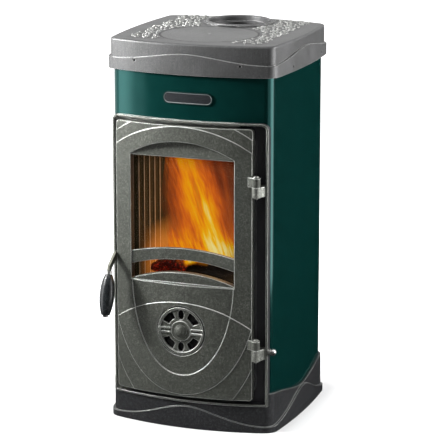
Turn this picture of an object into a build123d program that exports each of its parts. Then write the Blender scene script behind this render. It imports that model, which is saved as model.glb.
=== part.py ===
from build123d import *

import os
from math import cos, radians, sin, sqrt

os.makedirs("parts", exist_ok=True)

# Wood cookstove, in millimetres. The front faces -Y, +X is to the right, the floor is z = 0
# and the origin is the middle of the plan.

# Overall plan and heights
width = 400.0  # across the plinth and the top casting
depth = 412.0
plate_top = 842.0  # cooking surface above the floor
front_radius = 590.0  # plan radius of the bowed front and back
side_radius = 1530.0  # plan radius of the bowed sides
seat_gap = 0.3  # left where two pieces seat on each other
touch_gap = 0.05

# Plinth
plinth_corner = 32.0
plinth_step = 5.0  # the lower band stands this far proud
plinth_wall = 8.0
plinth_corner_top = 88.0
plinth_side_top = 63.0
plinth_front_top = 60.0  # the front casting stands on this
plinth_band_low = 13.0  # the band's top edge at the corners
plinth_band_front = 50.0  # and at the middle of the front
plinth_band_side = 61.0
deck_top = 50.0
deck_wall = 6.0
web_wall = 10.0

# Enamelled mantle
mantle_inset = 10.0
mantle_corner = 25.0
mantle_wall = 2.5
back_opening_half = 150.0
back_panel_wall = 1.5
back_panel_lap = 12.0
vent_count = 6
vent_width = 90.0
vent_height = 7.0
vent_pitch = 20.0

# Top casting
skirt_height = 66.0
skirt_corner = 24.0
skirt_step = 5.0
skirt_band_corner = 25.0  # height of the band at the corners
skirt_band_middle = 44.0
skirt_lip_wall = 5.0
skirt_lip_height = 18.0
plate_wall = 8.0
plate_edge_radius = 5.0
disc_y = -60.0
disc_radius = 106.0
disc_gap = 1.0
disc_wall = 5.3
disc_seat_width = 9.0
disc_rib_radius = 62.0
disc_rib_width = 5.0
disc_rib_height = 6.0
disc_boss_radius = 3.0
disc_boss_height = 1.2
fixing_radius = 3.0
fixing_side_places = (-78.0, 118.0)
fixing_front_x = 119.0
fixing_side_height = 11.0
fixing_front_height = 24.0
fixing_sunk = 2.5

# Flue collar for a 130 mm pipe
flue_y = 122.0
flue_bore_radius = 65.5
flue_spigot_wall = 4.2
flue_flange_radius = 78.0
flue_flange_wall = 2.5
flue_ridge_radius = 72.0
flue_ridge_height = 6.0
flue_socket_depth = 12.0
flue_ledge_radius = 40.0
flue_ledge_wall = 6.0

# Front casting: a shallow bowed tray with a mouth and a lip round it
frame_half = 177.0
frame_height = 619.0
frame_corner = 15.0
frame_wall = 6.0
frame_rim_wall = 4.0
frame_rim_proud = 10.0  # in front of the mantle's skin
mouth_half = 137.0
mouth_margin = 40.0  # above the foot of the casting
mouth_height = 538.0
mouth_corner = 6.0
lip_width = 12.0
lip_corner = 16.0

# Door
door_gap = 8.0  # from the tray's floor to the door's back
door_wall = 16.0
door_latch_stile = 16.0  # beyond the lip on the latch side
door_hinge_stile = -2.0
door_top_rail = 18.0
door_bottom_rail = 14.0
door_corner = 7.0
relief_step = 1.5
panel_sunk = 2.0
rope_size = 8.0
rope_sunk = 6.0
rope_gap = 0.4

# Window, measured from the mouth's lower edge
window_half = 119.0
window_low = 222.0
window_high = 497.0
window_arch = 500.0
window_crown = 534.0
window_plane = 18.0  # behind the door's crown
window_back = 32.0
window_flange = 5.0
window_foot = 18.0
window_head = 40.0  # up to the rope seal
sill_crown = 23.0
bar_low = 257.0
bar_low_crown = 274.0
bar_high = 285.0
bar_high_crown = 299.0
bar_wall = 8.0
gasket_wall = 1.4
glass_wall = 4.0
glass_lap = 3.0
glass_rail_lap = 7.0
clip_width = 16.0
clip_wall = 2.0
clip_foot = 12.0
clip_tongue = 7.0
clip_spread = 85.0
clip_screw_radius = 2.0
clip_screw_head = 4.0
clip_screw_head_height = 2.4
clip_screw_length = 8.0

# Arched relief lines on the door, measured from the mouth's lower edge
top_arch_ends = 516.0
top_arch_crown = 567.0
top_arch_spacing = 28.0
rosette_arch_ends = 132.0
rosette_arch_crown = 183.0
shield_half = 117.0
shield_low = 22.0
shield_curve = (0.53, 0.957, 0.39)  # how wide its foot is, and how wide and high its hips are
apron_top = 140.0
apron_low = -22.0
apron_curve = (0.513, 0.865, 0.444)
corner_line_x = 113.0
corner_line_z = 50.0

# Air rosette
rosette_z = 120.0  # above the mouth's lower edge
rosette_recess_radius = 55.5
rosette_seat = 8.5  # behind the door's crown
rosette_seat_wall = 6.5
rosette_cup_radius = 60.0
rosette_radius = 52.5
rosette_wall = 4.0
rosette_rim_width = 5.0
rosette_rim_height = 2.5
rosette_hub_radius = 22.0
rosette_hub_height = 2.0
rosette_grip_height = 3.0
finger_rib_wall = 3.5
finger_rib_spread = 4.5
port_inner_radius = 30.0
port_outer_radius = 46.5
port_angle = 40.0
petal_width = 14.0
petal_inner_radius = 25.0
seat_port_angle = 12.0  # the door's own ports are narrower, so that the disc can cover them
seat_petal_width = 7.0
port_lag = 13.5  # and lie this many degrees behind the disc's
petal_lag = 4.75
rosette_bolt_radius = 4.0
rosette_bolt_gap = 0.06
rosette_knob_radius = 14.0
rosette_knob_height = 9.0
rosette_knob_rim = 1.5
rosette_nut_radius = 7.0
rosette_nut_height = 5.0

# Inside the door's lower part
pocket_half = 122.0
pocket_low = 14.0
pocket_high = 196.0
pocket_wall = 8.0
inner_shield_half = 133.0
inner_shield_wall = 1.5
inner_shield_screw_x = 128.5
inner_shield_screw_inset = 6.0
inner_shield_slots = 5
inner_shield_slot_length = 30.0
inner_shield_slot_height = 8.0

# Hinges
pin_x = 157.0
pin_y = -196.0
pin_radius = 4.0
pin_gap = 0.05
pin_head_radius = 6.0
pin_head_height = 3.0
pin_head_chamfer = 1.2
knuckle_radius = 9.0
knuckle_height = 20.0
lug_height = 22.0
hinge_low = 66.0  # lower lug's foot above the mouth's lower edge
hinge_high = 424.0
lug_left = 148.0
lug_root_left = 158.0
lug_screw_x = 163.0
lug_screw_radius = 3.0
lug_screw_low = 5.0
lug_screw_length = 17.0

# Secondary-air pull valve through the lower lug
valve_y = -172.0
valve_low = 16.0  # above the lower lug's foot
valve_rod_radius = 3.0
valve_rod_left = 156.0
valve_port_radius = 6.2
valve_disc_radius = 8.0
valve_disc_wall = 2.5
valve_ball_radius = 7.5
valve_ball_stand = 10.5  # from the rim to the ball's centre
lower_lug_extra = 2.0

# Latch lever and grip
latch_z = 269.0  # above the mouth's lower edge
latch_y = -184.0
latch_pin_radius = 3.0
latch_pin_length = 16.0
latch_pin_head_radius = 5.5
latch_pin_head_wall = 1.2
lever_wall = 5.2
lever_boss_radius = 9.0
lever_side_gap = 0.8  # from the door's edge to the lever
latch_slot_up = 7.0
latch_slot_down = 25.0
latch_slot_side = 1.5
hook_back = 26.0  # from the pivot to the back of the hook
hook_rise = 6.5
hook_beak = 5.0
keeper_height = 18.0
keeper_wall = 4.0
lever_reach = 42.0  # from the pivot forward to the spindle
lever_drop = 27.0
lever_tip = 5.0  # half the arm's height at the spindle
grip_lean = 14.0  # degrees forward of vertical
grip_length = 88.0
grip_top_radius = 7.5
grip_belly_radius = 16.0
grip_end_radius = 9.0
grip_bore_radius = 4.1
spindle_radius = 4.0
ferrule_radius = 6.0
ferrule_length = 7.0
grip_nut_radius = 6.5
grip_nut_height = 4.0

# Firebox
firebox_half = 141.0
firebox_wall = 3.0
firebox_back_y = 173.0
hearth_height = 142.0  # above the mouth's lower edge
hearth_wall = 8.0
hearth_tongue_gap = 4.0
ledge_width = 10.0
grate_side = 188.0
grate_wall = 10.0
grate_rebate = 4.0
grate_seat_width = 9.0
grate_slots = 9
grate_slot_width = 8.0
grate_slot_pitch = 18.0
liner_wall = 7.5
liner_top = 700.0
rib_radius = 4.0
rib_pitch = 30.0
rib_first_y = -154.0
rib_margin = 11.0
back_rib_count = 8
baffle_wall = 6.0
baffle_front_y = -30.0

# Ash pan
pan_half = 112.0
pan_front_y = -148.0
pan_back_y = 138.0
pan_height = 66.0
pan_wall = 2.0
pan_bail_half = 35.0
pan_bail_reach = 14.0
pan_bail_wall = 3.0
pan_bail_height = 40.0  # above the pan's floor

# Badge plate, left bare
badge_x = 3.0
badge_drop = 50.0  # below the skirt
badge_length = 112.0
badge_height = 26.0
badge_wall = 2.0
badge_rim = 2.0
badge_rim_proud = 0.8

# Places worked out from the sizes above
bow_y = front_radius - depth / 2
skin_radius = front_radius - mantle_inset
frame_floor_radius = skin_radius - frame_wall
frame_back_radius = frame_floor_radius - frame_wall
frame_rim_radius = skin_radius + frame_rim_proud
door_back_radius = frame_floor_radius + door_gap
door_front_radius = door_back_radius + door_wall
rope_back_radius = door_back_radius + rope_sunk - rope_size
lip_radius = rope_back_radius - rope_gap
plate_under = plate_top - plate_wall
skirt_bottom = plate_top - skirt_height
frame_bottom = plinth_front_top
frame_top = frame_bottom + frame_height
mouth_bottom = frame_bottom + mouth_margin
mouth_top = mouth_bottom + mouth_height
lip_half = mouth_half + lip_width
door_left = -lip_half - door_latch_stile
door_right = lip_half + door_hinge_stile
door_x = (door_left + door_right) / 2
door_bottom = mouth_bottom - lip_width - door_bottom_rail
door_top = mouth_top + lip_width + door_top_rail
door_crown_y = bow_y - door_front_radius
window_y = door_crown_y + window_plane
window_back_y = door_crown_y + window_back
hearth_top = mouth_bottom + hearth_height + hearth_wall
bottom_align = (Align.CENTER, Align.CENTER, Align.MIN)
top_align = (Align.CENTER, Align.CENTER, Align.MAX)


def rise(radius, reach):
    # how far an arc of this radius falls back at this distance from its crown
    return radius - sqrt(radius**2 - reach**2)


def front_y(radius, x):
    # y of a bowed surface about the front's shared axis
    return bow_y - sqrt(radius**2 - x**2)


def bowed_outline(inset, corner):
    # plan outline parallel to the outside of the stove
    half_x = width / 2 - inset
    half_y = depth / 2 - inset
    corner_x, corner_y = half_x, half_y
    for _ in range(8):
        corner_x = half_x - rise(side_radius - inset, corner_y)
        corner_y = half_y - rise(front_radius - inset, corner_x)
    with BuildSketch() as outline:
        with BuildLine():
            ThreePointArc((-corner_x, -corner_y), (0, -half_y), (corner_x, -corner_y))
            ThreePointArc((corner_x, -corner_y), (half_x, 0), (corner_x, corner_y))
            ThreePointArc((corner_x, corner_y), (0, half_y), (-corner_x, corner_y))
            ThreePointArc((-corner_x, corner_y), (-half_x, 0), (-corner_x, -corner_y))
        make_face()
        fillet(outline.vertices(), corner)
    return outline.sketch


def bowed_strip(inner, outer, left, right):
    # plan strip between two bowed surfaces of the front
    middle = (left + right) / 2
    with BuildSketch() as strip:
        with BuildLine():
            front = ThreePointArc(*[(x, front_y(outer, x)) for x in (left, middle, right)])
            back = ThreePointArc(*[(x, front_y(inner, x)) for x in (left, middle, right)])
            Line(front @ 0, back @ 0)
            Line(front @ 1, back @ 1)
        make_face()
    return strip.sketch


def front_prism(region, front, back):
    # a shape drawn in the front view, between two y values
    with BuildPart() as prism:
        with BuildSketch(Plane.XZ.offset(-back)):
            add(region)
        extrude(amount=back - front)
    return prism.part


def bowed_block(inner, outer, region):
    # a shape drawn in the front view, between two bowed surfaces
    box = region.bounding_box()
    with BuildPart() as block:
        with BuildSketch(Plane.XY.offset(box.min.Y)):
            add(bowed_strip(inner, outer, box.min.X - 1, box.max.X + 1))
        extrude(amount=box.size.Y)
        add(front_prism(region, -depth, depth / 4), mode=Mode.INTERSECT)
    return block.part


def front_rectangle(left, right, low, high, corner=0.0):
    with BuildSketch() as shape:
        with Locations(((left + right) / 2, (low + high) / 2)):
            if corner:
                RectangleRounded(right - left, high - low, corner)
            else:
                Rectangle(right - left, high - low)
    return shape.sketch


def arch_region(half, ends, crown, edge):
    # between an arch over the door's middle and a level edge, above it or below it
    with BuildSketch() as shape:
        with BuildLine():
            arch = ThreePointArc(
                (door_x - half, ends), (door_x, crown), (door_x + half, ends)
            )
            Polyline(arch @ 1, (door_x + half, edge), (door_x - half, edge), arch @ 0)
        make_face()
    return shape.sketch


def shield_region(half, low, high, toe, hip_x, hip_z):
    # U-shaped shield about the door's middle, wide at the top
    with BuildSketch() as shape:
        with BuildLine():
            sides = []
            for hand in (1, -1):
                sides.append(
                    Bezier(
                        (door_x, low),
                        (door_x + hand * toe * half, low),
                        (door_x + hand * hip_x * half, low + hip_z * (high - low)),
                        (door_x + hand * half, high),
                    )
                )
            Line(sides[0] @ 1, sides[1] @ 1)
        make_face()
    return shape.sketch


def wave_band(plan, bottom, plane, half, low, high):
    # a band whose upper edge rises like a bell to the middle of two opposite sides
    with BuildPart() as band:
        with BuildSketch(Plane.XY.offset(bottom)):
            add(plan)
        extrude(amount=high - bottom)
        with BuildSketch(plane):
            with BuildLine():
                edge = Spline((-half, low), (0, high), (half, low), tangents=((1, 0), (1, 0)))
                Polyline(
                    edge @ 1,
                    (half + plinth_corner, low),
                    (half + plinth_corner, high + 1),
                    (-half - plinth_corner, high + 1),
                    (-half - plinth_corner, low),
                    edge @ 0,
                )
            make_face()
        extrude(amount=width, both=True, mode=Mode.SUBTRACT)
    return band.part


def screws(places, head_radius, head_height, radius, length):
    # hexagon-headed screws: each plane's z points out of the head
    with BuildPart() as group:
        for place in places:
            with BuildSketch(place):
                RegularPolygon(head_radius, 6)
            extrude(amount=head_height)
            with Locations(place):
                Cylinder(radius, length, align=top_align)
    return group.part


def screw_holes(places, radius, length):
    with BuildPart() as group:
        with Locations(*places):
            Cylinder(radius + touch_gap, length + seat_gap, align=top_align)
    return group.part


def facing_front(x, y, z):
    return Plane(origin=(x, y, z), x_dir=(1, 0, 0), z_dir=(0, -1, 0))


def facing_back(x, y, z):
    return Plane(origin=(x, y, z), x_dir=(-1, 0, 0), z_dir=(0, 1, 0))


def behind_front(radius, x, z):
    # square to a bowed surface of the front, facing the back
    y = front_y(radius, x)
    return Plane(origin=(x, y, z), x_dir=(0, 0, 1), z_dir=(-x, bow_y - y, 0))


def outside_back(radius, x, z):
    # square to the bowed back, facing away from the stove
    y = -front_y(radius, x)
    return Plane(origin=(x, y, z), x_dir=(0, 0, 1), z_dir=(x, bow_y + y, 0))


def save(builder, name):
    builder.part.label = name
    export_step(builder.part, f"parts/{name}.step")


# Plinth: a cast tray with a proud lower band, a deck inside and crossed webs beneath
bell_half_x = width / 2 - plinth_corner / 2
bell_half_y = depth / 2 - plinth_corner / 2
plinth_plan = bowed_outline(0, plinth_corner)
with BuildPart() as plinth:
    add(
        wave_band(plinth_plan, 0, Plane.XZ, bell_half_x, plinth_band_low, plinth_band_front)
    )
    add(wave_band(plinth_plan, 0, Plane.YZ, bell_half_y, plinth_band_low, plinth_band_side))
    with BuildSketch():
        add(bowed_outline(plinth_step, plinth_corner - plinth_step))
    extrude(amount=plinth_corner_top)
    # the rim sweeps down between the corners at the sides and the back
    with BuildSketch(Plane.YZ):
        with BuildLine():
            reach = depth / 2 - plinth_corner / 2
            valley = Spline(
                (-reach, plinth_corner_top),
                (0, plinth_side_top),
                (reach, plinth_corner_top),
                tangents=((1, 0), (1, 0)),
            )
            Polyline(
                valley @ 1,
                (reach, plinth_corner_top + 1),
                (-reach, plinth_corner_top + 1),
                valley @ 0,
            )
        make_face()
    extrude(amount=width, both=True, mode=Mode.SUBTRACT)
    # low front for the front casting, and the same at the back
    for y in (-depth / 2, depth / 2):
        with BuildSketch(Plane.XY.offset(plinth_front_top)):
            with Locations((0, y)):
                Rectangle(2 * (frame_half + seat_gap), depth / 3)
        extrude(amount=plinth_corner_top, mode=Mode.SUBTRACT)
    # the mantle stands on the deck, inside the rim
    with BuildSketch(Plane.XY.offset(deck_top)):
        add(bowed_outline(mantle_inset - seat_gap, mantle_corner + seat_gap))
    extrude(amount=plinth_corner_top, mode=Mode.SUBTRACT)
    with BuildSketch():
        add(bowed_outline(plinth_wall, plinth_corner - plinth_wall))
        Rectangle(width, web_wall, mode=Mode.SUBTRACT)
        Rectangle(web_wall, depth, mode=Mode.SUBTRACT)
    extrude(amount=deck_top - deck_wall, mode=Mode.SUBTRACT)
save(plinth, "plinth")

# Mantle: enamelled sheets wrapped round the corners, and a fascia above the door
frame_region = front_rectangle(-frame_half, frame_half, frame_bottom, frame_top)
with BuildSketch() as frame_outline:
    add(frame_region)
    fillet(frame_outline.vertices().group_by(Axis.Y)[-1], frame_corner)
with BuildSketch() as mantle_cutout:
    add(frame_outline.sketch)
    offset(amount=2 * seat_gap)
    with Locations((0, frame_bottom)):
        Rectangle(2 * (frame_half + 2 * seat_gap), 4 * frame_corner)
panel_half = back_opening_half + back_panel_lap
panel_low = plinth_front_top + seat_gap
panel_high = skirt_bottom - back_panel_lap / 4
vent_z = (panel_low + panel_high) / 2
back_opening = front_rectangle(
    -back_opening_half,
    back_opening_half,
    panel_low + back_panel_lap,
    panel_high - back_panel_lap,
    frame_corner,
)
panel_front_radius = skin_radius + touch_gap
panel_back_radius = panel_front_radius + back_panel_wall
back_screw_places = [
    outside_back(panel_back_radius + touch_gap, hand * (panel_half - back_panel_lap / 2), z)
    for hand in (-1, 1)
    for z in (panel_low + 3 * back_panel_lap, panel_high - 3 * back_panel_lap)
]
badge_z = skirt_bottom - badge_drop
mantle_seam = frame_half - frame_corner
with BuildPart() as mantle:
    with BuildSketch(Plane.XY.offset(deck_top)):
        add(bowed_outline(mantle_inset, mantle_corner))
        add(
            bowed_outline(mantle_inset + mantle_wall, mantle_corner - mantle_wall),
            mode=Mode.SUBTRACT,
        )
    extrude(amount=plate_under - deck_top)
    add(front_prism(mantle_cutout.sketch, -depth, -depth / 4), mode=Mode.SUBTRACT)
    add(front_prism(back_opening, depth / 4, depth), mode=Mode.SUBTRACT)
    add(screw_holes(back_screw_places, clip_screw_radius, clip_screw_length), mode=Mode.SUBTRACT)

fascia_region = front_rectangle(-mantle_seam, mantle_seam, deck_top, plate_top)
back_rail_region = front_rectangle(-back_opening_half, back_opening_half, deck_top, plate_top)
with BuildPart() as mantle_fascia:
    add(mantle.part)
    add(front_prism(fascia_region, -depth, 0), mode=Mode.INTERSECT)
save(mantle_fascia, "mantle_fascia")

with BuildPart() as mantle_back_rails:
    add(mantle.part)
    add(front_prism(back_rail_region, 0, depth), mode=Mode.INTERSECT)
save(mantle_back_rails, "mantle_back_rails")

for hand, name in ((-1, "mantle_left"), (1, "mantle_right")):
    with BuildPart() as mantle_side:
        add(mantle.part)
        with Locations((-hand * width / 2, 0, 0)):
            Box(width, 2 * depth, 2 * plate_top, mode=Mode.SUBTRACT)
        add(front_prism(fascia_region, -depth, 0), mode=Mode.SUBTRACT)
        add(front_prism(back_rail_region, 0, depth), mode=Mode.SUBTRACT)
    save(mantle_side, name)

# Back panel with air slots
with BuildSketch() as back_panel_region:
    add(front_rectangle(-panel_half, panel_half, panel_low, panel_high, frame_corner))
    with Locations((0, vent_z)):
        with GridLocations(vent_width * 1.4, vent_pitch, 2, vent_count):
            Rectangle(vent_width, vent_height, mode=Mode.SUBTRACT)
with BuildPart() as back_panel:
    add(mirror(bowed_block(panel_front_radius, panel_back_radius, back_panel_region.sketch),
               about=Plane.XZ))
    add(screw_holes(back_screw_places, clip_screw_radius, clip_screw_length), mode=Mode.SUBTRACT)
save(back_panel, "back_panel")

with BuildPart() as back_panel_screws:
    add(
        screws(
            back_screw_places,
            clip_screw_head,
            clip_screw_head_height,
            clip_screw_radius,
            clip_screw_length,
        )
    )
save(back_panel_screws, "back_panel_screws")

# Top casting: plate, two-tier skirt, rebate for the lift-out disc and flue hole
skirt_plan = bowed_outline(0, skirt_corner)
skirt_band_low = skirt_bottom + skirt_band_corner
skirt_band_high = skirt_bottom + skirt_band_middle
side_fixings = [
    Plane(
        origin=(
            hand * (width / 2 - rise(side_radius, y) - fixing_sunk),
            y,
            skirt_bottom + fixing_side_height,
        ),
        x_dir=(0, 1, 0),
        z_dir=(hand, 0, 0),
    )
    for hand in (1, -1)
    for y in fixing_side_places
]
front_fixings = [
    facing_front(
        x, front_y(front_radius, x) + fixing_sunk, skirt_bottom + fixing_front_height
    )
    for x in (-fixing_front_x, fixing_front_x)
]
fixing_length = mantle_inset - fixing_sunk - 1.0
with BuildPart() as top_casting:
    with BuildSketch(Plane.XY.offset(skirt_bottom)):
        add(bowed_outline(skirt_step, skirt_corner - skirt_step))
    extrude(amount=skirt_height)
    top_edges = top_casting.faces().sort_by(Axis.Z)[-1].edges()
    fillet(top_edges, plate_edge_radius)
    for plane, half in ((Plane.XZ, bell_half_x), (Plane.YZ, bell_half_y)):
        add(
            wave_band(skirt_plan, skirt_bottom, plane, half, skirt_band_low, skirt_band_high)
        )
    with BuildSketch(Plane.XY.offset(skirt_bottom)):
        add(bowed_outline(mantle_inset - seat_gap, mantle_corner + seat_gap))
    extrude(amount=skirt_height - plate_wall, mode=Mode.SUBTRACT)
    with BuildSketch(Plane.XY.offset(skirt_bottom)):
        add(bowed_outline(skirt_lip_wall, skirt_corner - skirt_lip_wall))
    extrude(amount=skirt_lip_height, mode=Mode.SUBTRACT)
    with BuildSketch(Plane.XY.offset(plate_top)):
        with Locations((0, disc_y)):
            Circle(disc_radius + disc_gap)
    extrude(amount=-disc_wall, mode=Mode.SUBTRACT)
    with BuildSketch(Plane.XY.offset(plate_top)):
        with Locations((0, disc_y)):
            Circle(disc_radius - disc_seat_width)
        with Locations((0, flue_y)):
            Circle(flue_bore_radius + flue_spigot_wall + seat_gap)
    extrude(amount=-2 * plate_wall, mode=Mode.SUBTRACT)
    with Locations(*side_fixings, *front_fixings):
        Cylinder(fixing_radius + touch_gap, 4 * mantle_inset, mode=Mode.SUBTRACT)
save(top_casting, "top_casting")

with BuildPart() as top_fixing_screws:
    with Locations(*side_fixings, *front_fixings):
        Cylinder(fixing_radius, fixing_length, align=top_align)
        with BuildSketch():
            RegularPolygon(fixing_radius * 0.6, 6)
        extrude(amount=-fixing_radius, mode=Mode.SUBTRACT)
save(top_fixing_screws, "top_fixing_screws")

# Lift-out cooking disc, with a stiffening ring beneath and a small boss in the middle
with BuildPart() as cooking_disc:
    with BuildSketch(Plane.XY.offset(plate_top - disc_wall)):
        with Locations((0, disc_y)):
            Circle(disc_radius)
    extrude(amount=disc_wall)
    with BuildSketch(Plane.XY.offset(plate_top - disc_wall)):
        with Locations((0, disc_y)):
            Circle(disc_rib_radius)
            Circle(disc_rib_radius - disc_rib_width, mode=Mode.SUBTRACT)
    extrude(amount=-disc_rib_height)
    with BuildSketch(Plane.XY.offset(plate_top)):
        with Locations((0, disc_y)):
            Circle(disc_boss_radius)
    extrude(amount=disc_boss_height, taper=20)
save(cooking_disc, "cooking_disc")

# Flue collar: a ridged flange and a socket with a ledge that stops the pipe
spigot_radius = flue_bore_radius + flue_spigot_wall
socket_floor = plate_top + flue_ridge_height - flue_socket_depth
with BuildPart() as flue_collar:
    with BuildSketch(Plane.XZ) as collar_section:
        with BuildLine():
            ridge_half = flue_ridge_radius - spigot_radius
            Polyline(
                (flue_ledge_radius, socket_floor - flue_ledge_wall),
                (spigot_radius, socket_floor - flue_ledge_wall),
                (spigot_radius, plate_top),
                (flue_flange_radius, plate_top),
                (flue_flange_radius, plate_top + flue_flange_wall),
                (flue_ridge_radius, plate_top + flue_flange_wall + 0.5),
            )
            ThreePointArc(
                (flue_ridge_radius, plate_top + flue_flange_wall + 0.5),
                (spigot_radius - ridge_half / 2, plate_top + flue_ridge_height),
                (flue_bore_radius, plate_top + flue_flange_wall + 0.5),
            )
            Polyline(
                (flue_bore_radius, plate_top + flue_flange_wall + 0.5),
                (flue_bore_radius, socket_floor),
                (flue_ledge_radius, socket_floor),
                (flue_ledge_radius, socket_floor - flue_ledge_wall),
            )
        make_face()
    revolve(axis=Axis.Z)
collar_part = Location((0, flue_y, 0)) * flue_collar.part
with BuildPart() as flue_collar_placed:
    add(collar_part)
save(flue_collar_placed, "flue_collar")

# Front casting
mouth_region = front_rectangle(-mouth_half, mouth_half, mouth_bottom, mouth_top, mouth_corner)
lip_region = front_rectangle(
    -lip_half, lip_half, mouth_bottom - lip_width, mouth_top + lip_width, lip_corner
)
with BuildSketch() as tray_region:
    add(frame_outline.sketch)
    offset(amount=-frame_rim_wall)
lever_right = door_left - lever_side_gap
lever_left = lever_right - lever_wall
latch_height = mouth_bottom + latch_z
lower_lug_bottom = mouth_bottom + hinge_low
upper_lug_bottom = mouth_bottom + hinge_high
lower_lug_height = lug_height + lower_lug_extra
valve_z = lower_lug_bottom + valve_low
latch_slot = front_rectangle(
    lever_left - latch_slot_side,
    lever_right + latch_slot_side,
    latch_height - latch_slot_down,
    latch_height + latch_slot_up,
)
lug_screw_places = [
    behind_front(frame_back_radius - touch_gap, lug_screw_x, z)
    for z in (lower_lug_bottom + lug_screw_low, upper_lug_bottom + lug_height / 2)
]
with BuildPart() as front_frame:
    add(bowed_block(frame_back_radius, frame_rim_radius, frame_outline.sketch))
    add(
        bowed_block(frame_floor_radius, frame_rim_radius + frame_wall, tray_region.sketch),
        mode=Mode.SUBTRACT,
    )
    add(bowed_block(frame_floor_radius - 1, lip_radius, lip_region))
    add(front_prism(mouth_region, -depth, 0), mode=Mode.SUBTRACT)
    add(front_prism(latch_slot, -depth, 0), mode=Mode.SUBTRACT)
    add(screw_holes(lug_screw_places, lug_screw_radius, lug_screw_length), mode=Mode.SUBTRACT)
    with Locations(Plane(origin=(frame_half, valve_y, valve_z), z_dir=(1, 0, 0))):
        Cylinder(valve_port_radius, 4 * frame_rim_wall, mode=Mode.SUBTRACT)
save(front_frame, "front_frame")

# Latch keeper: a steel plate behind the upper edge of the slot
keeper_region = front_rectangle(
    lever_left - latch_slot_side,
    lever_right + latch_slot_side,
    latch_height + latch_slot_up,
    latch_height + latch_slot_up + keeper_height,
)
with BuildPart() as latch_keeper:
    add(
        bowed_block(
            frame_back_radius - touch_gap - keeper_wall,
            frame_back_radius - touch_gap,
            keeper_region,
        )
    )
save(latch_keeper, "latch_keeper")


def hinge_lug(bottom, height):
    # arm from the tray's floor to a barrel round the pin
    root_y = front_y(frame_back_radius, frame_half)
    with BuildPart() as lug:
        with BuildSketch(Plane.XY.offset(bottom)) as arm:
            with Locations((pin_x, pin_y)):
                Circle(knuckle_radius)
            with BuildLine():
                Polyline(
                    (lug_root_left, pin_y + knuckle_radius / 2),
                    (pin_x + knuckle_radius / 2, pin_y - knuckle_radius * 0.8),
                    (frame_half - frame_rim_wall - seat_gap, valve_y - knuckle_radius / 2),
                    (frame_half - frame_rim_wall - seat_gap, root_y),
                    (lug_root_left, root_y),
                    close=True,
                )
            make_face()
            with BuildLine():
                Polyline(
                    (lug_left, pin_y),
                    (pin_x, pin_y),
                    (lug_root_left + 2, valve_y - 6),
                    (lug_root_left, valve_y - 4),
                    close=True,
                )
            make_face()
        extrude(amount=height)
        floor = front_rectangle(0, width / 2, bottom - 1, bottom + height + 1)
        add(
            bowed_block(frame_back_radius - depth / 2, frame_floor_radius + touch_gap, floor),
            mode=Mode.SUBTRACT,
        )
    return lug.part


pin_place = (pin_x, pin_y)
for name, bottom, height, place in (
    ("hinge_bracket_lower", lower_lug_bottom, lower_lug_height, lug_screw_places[0]),
    ("hinge_bracket_upper", upper_lug_bottom, lug_height, lug_screw_places[1]),
):
    with BuildPart() as bracket:
        add(hinge_lug(bottom, height))
        with Locations((pin_x, pin_y, bottom)):
            Cylinder(pin_radius, height, align=bottom_align, mode=Mode.SUBTRACT)
        add(screw_holes([place], lug_screw_radius, lug_screw_length), mode=Mode.SUBTRACT)
        if name == "hinge_bracket_lower":
            with Locations(Plane(origin=(pin_x, valve_y, valve_z), z_dir=(1, 0, 0))):
                Cylinder(valve_rod_radius + pin_gap, 6 * knuckle_radius, mode=Mode.SUBTRACT)
    save(bracket, name)

for name, bottom, height in (
    ("hinge_pin_lower", lower_lug_bottom, lower_lug_height),
    ("hinge_pin_upper", upper_lug_bottom, lug_height),
):
    pin_top = bottom + height + knuckle_height + 2 * seat_gap
    with BuildPart() as hinge_pin:
        with Locations((pin_x, pin_y, bottom - pin_head_height)):
            Cylinder(pin_radius, pin_top - bottom + pin_head_height, align=bottom_align)
        with Locations((pin_x, pin_y, pin_top)):
            Cylinder(pin_head_radius, pin_head_height, align=bottom_align)
        chamfer(
            hinge_pin.edges().filter_by(GeomType.CIRCLE).sort_by(Axis.Z)[-1], pin_head_chamfer
        )
    save(hinge_pin, name)

with BuildPart() as hinge_bolts:
    add(
        screws(
            lug_screw_places,
            lug_screw_radius * 1.8,
            lug_screw_radius,
            lug_screw_radius,
            lug_screw_length,
        )
    )
save(hinge_bolts, "hinge_bolts")

# Secondary-air valve: rod, disc over the port in the rim, and a ball to pull
with BuildPart() as air_valve_rod:
    with Locations(Plane(origin=(valve_rod_left, valve_y, valve_z), z_dir=(1, 0, 0))):
        Cylinder(
            valve_rod_radius,
            frame_half + valve_ball_stand - valve_rod_left,
            align=bottom_align,
        )
save(air_valve_rod, "air_valve_rod")

with BuildPart() as air_valve_disc:
    with Locations(Plane(origin=(frame_half + seat_gap, valve_y, valve_z), z_dir=(1, 0, 0))):
        Cylinder(valve_disc_radius, valve_disc_wall, align=bottom_align)
        Cylinder(valve_rod_radius, valve_disc_wall, align=bottom_align, mode=Mode.SUBTRACT)
save(air_valve_disc, "air_valve_disc")

with BuildPart() as air_valve_knob:
    with Locations((frame_half + valve_ball_stand, valve_y, valve_z)):
        Sphere(valve_ball_radius)
    with Locations(Plane(origin=(valve_rod_left, valve_y, valve_z), z_dir=(1, 0, 0))):
        Cylinder(
            valve_rod_radius,
            frame_half + valve_ball_stand - valve_rod_left,
            align=bottom_align,
            mode=Mode.SUBTRACT,
        )
save(air_valve_knob, "air_valve_knob")

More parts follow.
